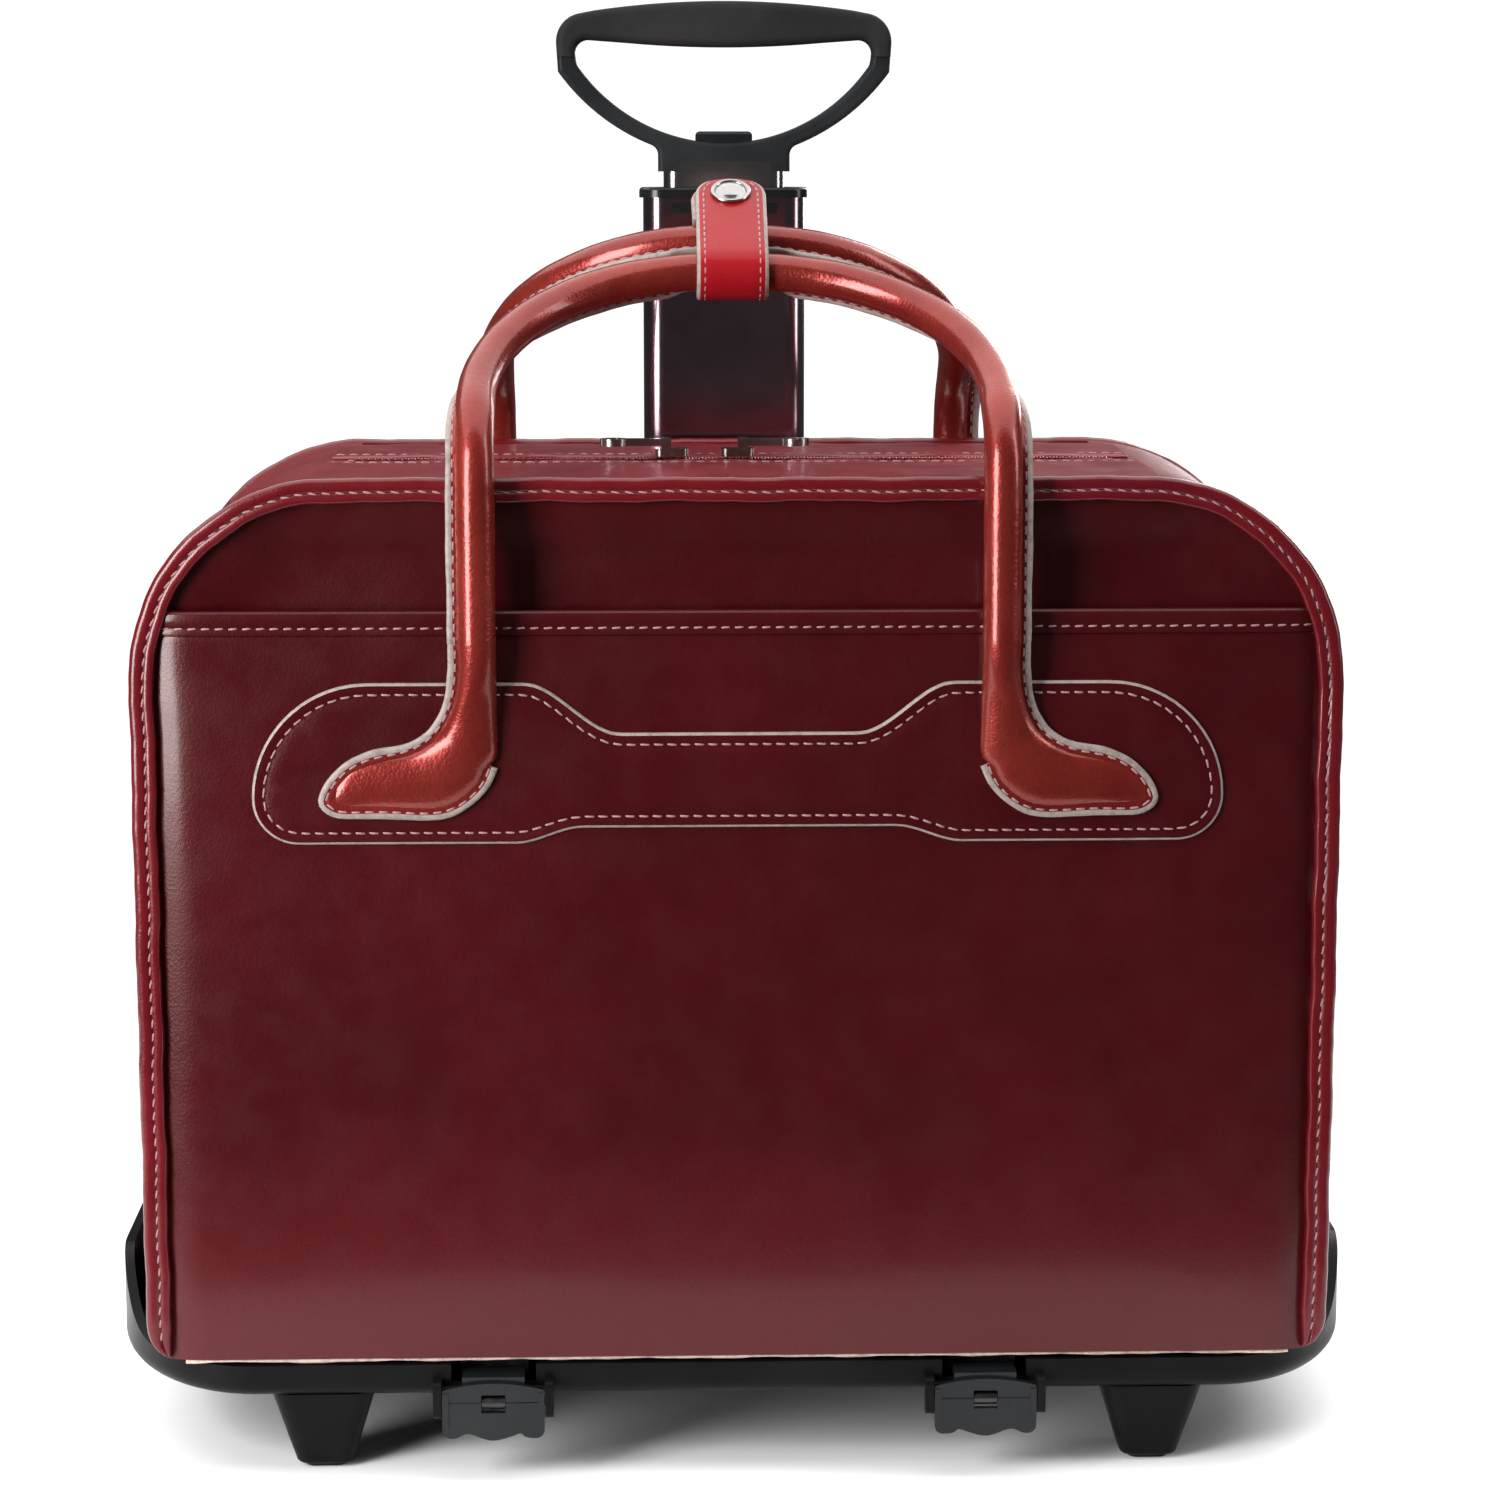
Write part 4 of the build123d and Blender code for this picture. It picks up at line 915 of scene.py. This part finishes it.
    def tab_flange(self):
        """The sewn flange round the tab, from its heel to the leg.

        Returns its root points, the ways outward and out of its face, and its reach."""
        edge = through(np.array(TAB_EDGE) + np.array([self.leg_x, 0.0]), 0.0021)[::-1]
        out_x, out_z = right_of(edge).T
        x, z = edge.T
        s = distances(edge, 2)
        rising = smooth(z, 0.266, LEG_TOP) * (s > s[-1] / 2)
        base = skin(self.side, x, z) + self.side * (PATCH + FLANGE_HALF * 0.6)
        y = (1 - rising) * base + rising * self.leg_y
        outward = xyz(out_x, 0.0, out_z)
        face = np.tile([0.0, self.side, 0.0], (len(s), 1))
        return xyz(x, y, z) - outward * TAB_FLANGE, outward, face, np.full(len(s), TAB_FLANGE)

    def leg_flange(self):
        """The flange along the tube: outwards on the leg, turning under along the arch."""
        s = distances(self.centre)
        angle = self.roll * smooth(s, 0.050, 0.165)
        direction = np.cos(angle)[:, None] * self.outward + np.sin(angle)[:, None] * self.under
        face = np.cross(self.along, direction)
        face *= np.sign(face[0, 1] * self.side)
        squeeze = 1 - 0.8 * smooth(-np.abs(self.centre[:, 0]), -0.024, -0.016)
        reach = self.flange * squeeze + FLANGE_ROOT
        point = self.centre + direction * (HANDLE_R - FLANGE_ROOT)
        return point, direction, face, reach

    def build(self, name, nodes, body_name):
        """The rolled handle with its tabs, the flange along it and the flange's stitches."""
        right = [*self.tab_rings()[:-1], *self.rings()]
        flip = np.array([-1.0, 1.0, 1.0])
        left = [ring * flip for ring in right[-2::-1]]
        body = (body_name, (0, self.leg_y, BLEND_FROM), (0, self.leg_y, BLEND_TO))
        hose = Piece()
        hose.rod(np.array([*right, *left]))

        on_tab = self.tab_flange()
        parts = [np.concatenate(pair) for pair in zip(on_tab, self.leg_flange())]
        point, out, face, reach = parts
        flange = Piece()
        seam = Piece()
        ring = [*FLANGE_SHAPE, *[(at, -up, mark) for at, up, mark in FLANGE_SHAPE[-2::-1]]]
        s = distances(point)
        rows = []
        for at, up, _ in ring:
            out_by = np.full(len(s), at) if at < 0 else at * reach
            out_by = out_by + wobble(s, 0.00012, 4.0) * (at > 0.8)
            rows.append(point + out * out_by[:, None] + face * (up * FLANGE_HALF))
        marks = [max(a[2], b[2]) for a, b in zip(ring, [*ring[1:], ring[0]])]
        right_flange = np.stack(rows, axis=1)
        sewn = point + out * (FLANGE_SEAM * reach)[:, None]
        proud = face * FLANGE_HALF * 0.9
        leg = slice(len(on_tab[0]), None)
        for mirror in (np.ones(3), flip):
            flange.rod(right_flange * mirror, marks=marks, cap_mark=1)
            front, behind = (sewn + proud) * mirror, (sewn - proud)[leg] * mirror
            add_stitches(seam, front, face * mirror, slant=0.0, thick=THREAD * 1.05)
            add_stitches(seam, behind, -face[leg] * mirror, slant=0.0)
        flange.finish(name + "_flange", [hide_handle, raw_edge], body, "leather_handle")
        seam.finish(name + "_stitches", [thread], body, "leather_handle")
        return hose.finish(name, [hide_handle], body, "leather_handle", nodes)


# ---------------- wrap strap and snap
# Half a strap's section: share of its half width, metres beyond that, and share of its thickness.
STRAP_SHAPE = (
    (-1.0, 0.0013, 0.5), (-0.5, 0.0, 0.5), (0.0, 0.0, 0.5), (0.5, 0.0, 0.5),
    (1.0, -0.0013, 0.5), (1.0, -0.0004, 0.40), (1.0, 0.0, 0.0), (1.0, -0.0004, -0.40),
)


def strap_ribbon(piece, line, across, half, thickness, corner=0.0):
    """A flat strap along a line, corners rounded by corner: two faces and lacquered edges."""
    line = np.asarray(line, float)
    along = unit(np.gradient(line, axis=0))
    normal = np.cross(along, across)
    s = distances(line)
    near_end = np.minimum(s, s[-1] - s)
    cut = np.clip(corner - near_end, 0, corner) if corner else 0 * s
    width = half - (corner - np.sqrt(np.maximum(corner**2 - cut**2, 0)))
    ring = [*STRAP_SHAPE, *[(-a, -b, -c) for a, b, c in STRAP_SHAPE]]
    rows = []
    for share, shift, up in ring:
        rows.append(line + across * (share * width + shift)[:, None] + normal * (up * thickness))
    piece.rod(np.stack(rows, axis=1), marks=[0, 0, 0, 0, 1, 1, 1, 1] * 2, cap_mark=1)
    return normal, width


def make_wrap(front, back):
    """A strap round both handles: its two ends meet behind them, where the snap is seated.

    Returns the snap's seat, the way along the strap there and the way out of it."""
    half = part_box("wrap_strap")[1].x
    thickness = 0.0025
    near, far = front.centre[-1][1:], back.centre[-1][1:]
    slope = (far - near) / np.linalg.norm(far - near)
    up = np.array([-slope[1], slope[0]])
    round_by = HANDLE_R + 0.0010 + thickness / 2
    turn = np.degrees(np.arctan2(slope[1], slope[0]))
    tail = far + slope * 0.0245
    flat = [tail + up * (round_by + 0.0016), far + slope * 0.008 + up * (round_by + 0.0012)]
    flat += arc(near, round_by, turn + 90, turn + 270, 16)
    flat += arc(far, round_by, turn - 90, turn + 62, 14)
    flat += [far + slope * 0.014 + up * (round_by - 0.0012), tail + up * (round_by - 0.0011)]
    line = through(flat, 0.0012)
    points = xyz(0.0, line[:, 0], line[:, 1])
    s = distances(points)
    points[:, 0] = -0.0016 * smooth(s, s[-1] * 0.45, s[-1])
    strap = Piece()
    across = np.array([1.0, 0.0, 0.0])
    normal, width = strap_ribbon(strap, points, across, half - 0.0016, thickness, 0.009)
    leathers = [hide_strap, raw_edge]
    strap.finish("wrap", leathers, "front_handle", "leather_handle", ("wrap_strap",), sharp=60)
    seam = Piece()
    outside = 1 if normal[0] @ np.array([0, *up]) > 0 else -1
    run = slice(2, int(len(points) * 0.62))
    for way in (-1, 1):
        offset = across * (way * (width[run] - 0.0030))[:, None]
        line = points[run] + offset + normal[run] * outside * (thickness * 0.5 - 0.0001)
        add_stitches(seam, line, normal[run] * outside, pitch=0.0036, slant=0.0)
    seam.finish("wrap_stitches", [thread], "front_handle", "leather_handle")
    seat = far + slope * 0.0155 + up * (round_by + 0.0014 + thickness / 2)
    return seat, slope, up


def make_snap(seat, slope, up):
    """A plain domed snap with a rolled rim, on the strap's tail."""
    centre, axis, along = (np.array([0.0, *flat]) for flat in (seat, up, slope))
    angles = np.arange(40) * tau / 40
    circle = xyz(np.cos(angles), 0.0, 0.0) + np.sin(angles)[:, None] * along
    shape = (
        (0.0064, -0.0012), (0.0072, 0.0000), (0.0075, 0.0005), (0.0074, 0.0011), (0.0068, 0.0015),
        (0.0062, 0.0013), (0.0058, 0.0007), (0.0055, 0.0008), (0.0048, 0.0016), (0.0036, 0.0022),
        (0.0018, 0.0026), (0.0003, 0.0027),
    )
    snap = Piece()
    snap.rod(np.array([centre + radius * circle + axis * height for radius, height in shape]))
    snap.finish("snap", [silver], "front_handle", "snap_metal", ("snap_fastener",), sharp=60)


# ---------------- back strap, piping, divider
def make_trolley_strap():
    """The band across the back that slides over the post, with feet sewn to the back wall."""
    low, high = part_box("trolley_strap")
    half, reach = high.x, high.y
    thickness = 0.0024
    base = BACK_SKIN + 0.0016
    turn = 0.012  # radius of its corners
    foot = 0.014  # length of a foot
    flat = [(half + foot, base), (half + 0.006, base)]
    flat += [(half - 0.0012, base + 0.006), (half - 0.0014, reach - turn - 0.0012)]
    flat += arc((half - turn - 0.0014, reach - turn - 0.0014), turn, 0, 90, 8)
    flat += [(0.03, reach - 0.0006)]
    line = through([*flat, *[(-x, y) for x, y in flat[::-1]]], 0.003)
    points = xyz(line[:, 0], line[:, 1], (low.z + high.z) / 2)
    strap = Piece()
    up = np.array([0.0, 0.0, 1.0])
    normal, _ = strap_ribbon(strap, points, up, (high.z - low.z) / 2, thickness)
    nodes = ("trolley_strap",)
    strap.finish("back_strap", [hide, raw_edge], "bag", "leather_trim", nodes, sharp=60)
    out = normal if normal[len(normal) // 2][1] > 0 else -normal
    half_height = (high.z - low.z) / 2 - 0.0045
    rows = [(points + up * way * half_height + out * 0.0011, out) for way in (-1, 1)]
    z = np.linspace(low.z + 0.006, high.z - 0.006, 30)
    for x in (half + 0.010, -half - 0.010):
        rows.append((xyz(x, base + 0.0011, z), (0, 1, 0)))
    sew("back_strap", rows)


def make_piping():
    """A light welt under the front seam, uneven where it was glued down."""
    low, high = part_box("bottom_piping")
    x = np.linspace(low.x, high.x, 130)
    seam_y = low.y + 0.0016
    half_high, half_deep, glue = 0.00075, 0.0012, 0.0003  # glue swells one stretch at the left
    angles = np.arange(10) * tau / 10
    thick = half_high + wobble(x, 0.00016, 1.0) + glue * smooth(-x, 0.12, 0.14) * (x > -0.171)
    rings = []
    for at, half in zip(x, thick):
        z = high.z - 0.0004 + half * np.sin(angles) + wobble(at, 0.00008, 3.0)
        rings.append(xyz(at, seam_y + half_deep * np.cos(angles), z))
    welt = Piece()
    welt.rod(np.array(rings))
    welt.finish("bottom_welt", [cream], "bag", "piping", ("bottom_piping",), sharp=70)


def make_divider():
    """The padded divider: a quilted pad that bulges between its edge seam and two channels."""
    low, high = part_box("laptop_divider")
    edge_thick, swell, channel_deep = 0.0008, 0.0034, 0.0022
    middle_y = (low.y + high.y) / 2
    z = np.linspace(low.z + 0.001, high.z - 0.001, 66)
    across = np.linspace(-1, 1, 97)
    front, back = [], []
    tall = high.z - low.z
    for height in z:
        half = float(half_width(height, 0.0125))
        x = across * half
        edge = np.minimum(half - np.abs(x), np.minimum(height - low.z, high.z - height))
        pad = edge_thick + swell * smooth(edge, 0.0, 0.016)
        for share in (1 / 3, 2 / 3):
            channel = np.abs(height - (low.z + tall * share))
            sunk = (1 - smooth(channel, 0.0, 0.012)) * smooth(edge, 0.0, 0.01)
            pad = pad - channel_deep * sunk
        pad = pad + 0.0003 * np.sin(x * 70 + height * 40) * smooth(edge, 0.0, 0.02)
        front.append(xyz(x, middle_y - pad * 0.72, height))
        back.append(xyz(x, middle_y + pad * 0.72, height))
    rings = [np.vstack([a, b[::-1]]) for a, b in zip(front, back)]
    pad = Piece()
    pad.rod(np.array(rings))
    made = pad.finish("divider_pad", [lining], "bag", "lining", ("laptop_divider",), sharp=70)


make_patch("patch_front_sheet", FRONT_SIDE, ("patch_front",))
make_patch("patch_back_sheet", BACK_SIDE, ("patch_back",))
front_handle = Handle("handle_front", FRONT_SIDE, 60.6, 0.0034, 90)
back_handle = Handle("handle_back", BACK_SIDE, 54.5, 0.0044, 55)
front_handle.build("carry_handle_front", ("handle_front", "handle_tabs_front"), "front_handle")
back_handle.build("carry_handle_back", ("handle_back", "handle_tabs_back"), "back_handle")
make_snap(*make_wrap(front_handle, back_handle))
make_trolley_strap()
make_piping()
make_divider()


# ---------------- the frame's own hard parts
DRAWN = (60, 60, 0.6)  # drawing marks run up the tubes

HARD_PARTS = (
    (plastic("black_plastic", (0.004, 0.004, 0.0045), (0.009, 0.009, 0.009), 0.34),
     ("base_tray", "rear_housing", "post_socket", "wheel_housings", "front_feet",
      "latch_brackets")),
    (plastic("black_gloss", (0.007, 0.008, 0.009), (0.013, 0.014, 0.015), 0.24, coat=0.4),
     ("latch_lever_left", "latch_lever_right", "post_collar", "middle_cap", "middle_inlay",
      "release_button")),
    (plastic("grip_skin", (0.012, 0.013, 0.014), (0.022, 0.024, 0.025), 0.40, 0.00006),
     ("grip_frame",)),
    (plastic("rubber", (0.014, 0.014, 0.014), (0.030, 0.029, 0.028), 0.62, 0.00008),
     ("grip_rubber", "foot_pads")),
    (plastic("tyre_rubber", (0.016, 0.016, 0.016), (0.045, 0.043, 0.040), 0.7, scale=600),
     ("tyre_left", "tyre_right")),
    (plastic("wheel_plastic", (0.030, 0.030, 0.032), (0.06, 0.06, 0.06), 0.4),
     ("wheel_rim_left", "wheel_rim_right")),
    (plastic("bush", (0.08, 0.08, 0.082), (0.12, 0.12, 0.12), 0.45),
     ("middle_bush", "inner_bush")),
    (plastic("board", (0.05, 0.045, 0.04), (0.08, 0.07, 0.06), 0.8, scale=500), ("base_board",)),
    (metal("tube_bronze", (0.30, 0.21, 0.24), (0.20, 0.14, 0.165), 0.16, DRAWN, 0.3),
     ("middle_tube",)),
    (metal("tube_black", (0.030, 0.030, 0.032), (0.018, 0.018, 0.02), 0.25, DRAWN, 0.3),
     ("outer_tube",)),
    (metal("tube_bright", (0.42, 0.40, 0.40), (0.22, 0.21, 0.21), 0.16, DRAWN), ("inner_tube",)),
    (metal("steel", (0.60, 0.60, 0.61), (0.34, 0.33, 0.33), 0.24),
     ("axles", "wheel_bearing_left", "wheel_bearing_right", "release_rods", "button_spring")),
    (metal("dark_steel", (0.075, 0.075, 0.08), (0.04, 0.04, 0.04), 0.36),
     ("base_screws", "catch_plates", "latch_springs", "latch_pins")),
    (silver, ("zip_slider_left", "zip_slider_right", "zip_pull_left", "zip_pull_right")),
)
for material, names in HARD_PARTS:
    for name in names:
        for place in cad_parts[name].material_slots:
            place.material = material


# ---------------- stage, light and camera
FLOOR_HALF_X, FLOOR_HALF_Y = 0.95, 0.31


def make_stage():
    """A sheet of pale paper, no larger than its reflection low on the case calls for."""
    look = Look("stage_paper")
    colour = look.mix(look.spread(look.noise(3.0, 3.0), 0.3, 0.7), (0.90,) * 3, (0.94,) * 3)
    paper = look.shade(Base_Color=colour, Roughness=0.9, Specular_IOR_Level=0.05)
    across = np.linspace(-FLOOR_HALF_X, FLOOR_HALF_X, 39)
    rows = [[(x, y, 0.0) for x in across] for y in np.linspace(-FLOOR_HALF_Y, FLOOR_HALF_Y, 19)]
    floor = Piece()
    floor.grid(rows)
    floor.build("stage", [paper], facing=(0, 0, 1))


def softbox(name, place, target, size, power):
    light = bpy.data.lights.new(name, "AREA")
    light.shape = "RECTANGLE"
    light.size, light.size_y = size
    light.energy = power
    lamp = bpy.data.objects.new(name, light)
    lamp.location = place
    lamp.rotation_euler = (Vector(target) - Vector(place)).to_track_quat("-Z", "Y").to_euler()
    bpy.context.scene.collection.objects.link(lamp)


def make_world():
    """A dim studio whose far walls are white where they are looked at directly."""
    world = bpy.data.worlds.new("studio")
    bpy.context.scene.world = world
    world.use_nodes = True
    nodes = world.node_tree.nodes
    seen = nodes.new("ShaderNodeLightPath").outputs["Is Camera Ray"]
    strength = nodes.new("ShaderNodeMapRange")
    set_sockets(strength, Value=seen, To_Min=0.07, To_Max=1.1)
    white = (1.0, 1.0, 1.0, 1.0)
    set_sockets(nodes["Background"], Color=white, Strength=strength.outputs[0])


def make_light():
    """A tall box at the left, a broad one overhead and weaker ones for the other sides."""
    softbox("key", (-0.95, -0.92, 0.54), (-0.15, -0.1, 0.30), (0.50, 1.0), 33)
    softbox("overhead", (0.0, 0.6, 1.9), (0, 0.6, 0), (5.0, 3.4), 128)
    softbox("right", (1.35, -0.35, 0.75), (0, 0, 0.22), (0.30, 1.0), 7)
    softbox("behind", (0.9, 1.5, 0.9), (0, 0, 0.22), (0.6, 1.1), 16)


def make_camera():
    """The viewing angle: a long lens a little left of the middle, looking down 8.8 degrees."""
    yaw, pitch = radians(1.82), radians(8.84)
    data = bpy.data.cameras.new("camera")
    data.lens = 93.1
    data.sensor_width = 36.0
    camera = bpy.data.objects.new("camera", data)
    camera.location = (-0.03835, -1.43838, 0.46753)
    look = Vector((sin(yaw) * cos(pitch), cos(yaw) * cos(pitch), -sin(pitch)))
    camera.rotation_euler = look.to_track_quat("-Z", "Y").to_euler()
    bpy.context.scene.collection.objects.link(camera)
    bpy.context.scene.camera = camera


bpy.context.scene.view_settings.view_transform = "Standard"
make_stage()
make_world()
make_light()
make_camera()
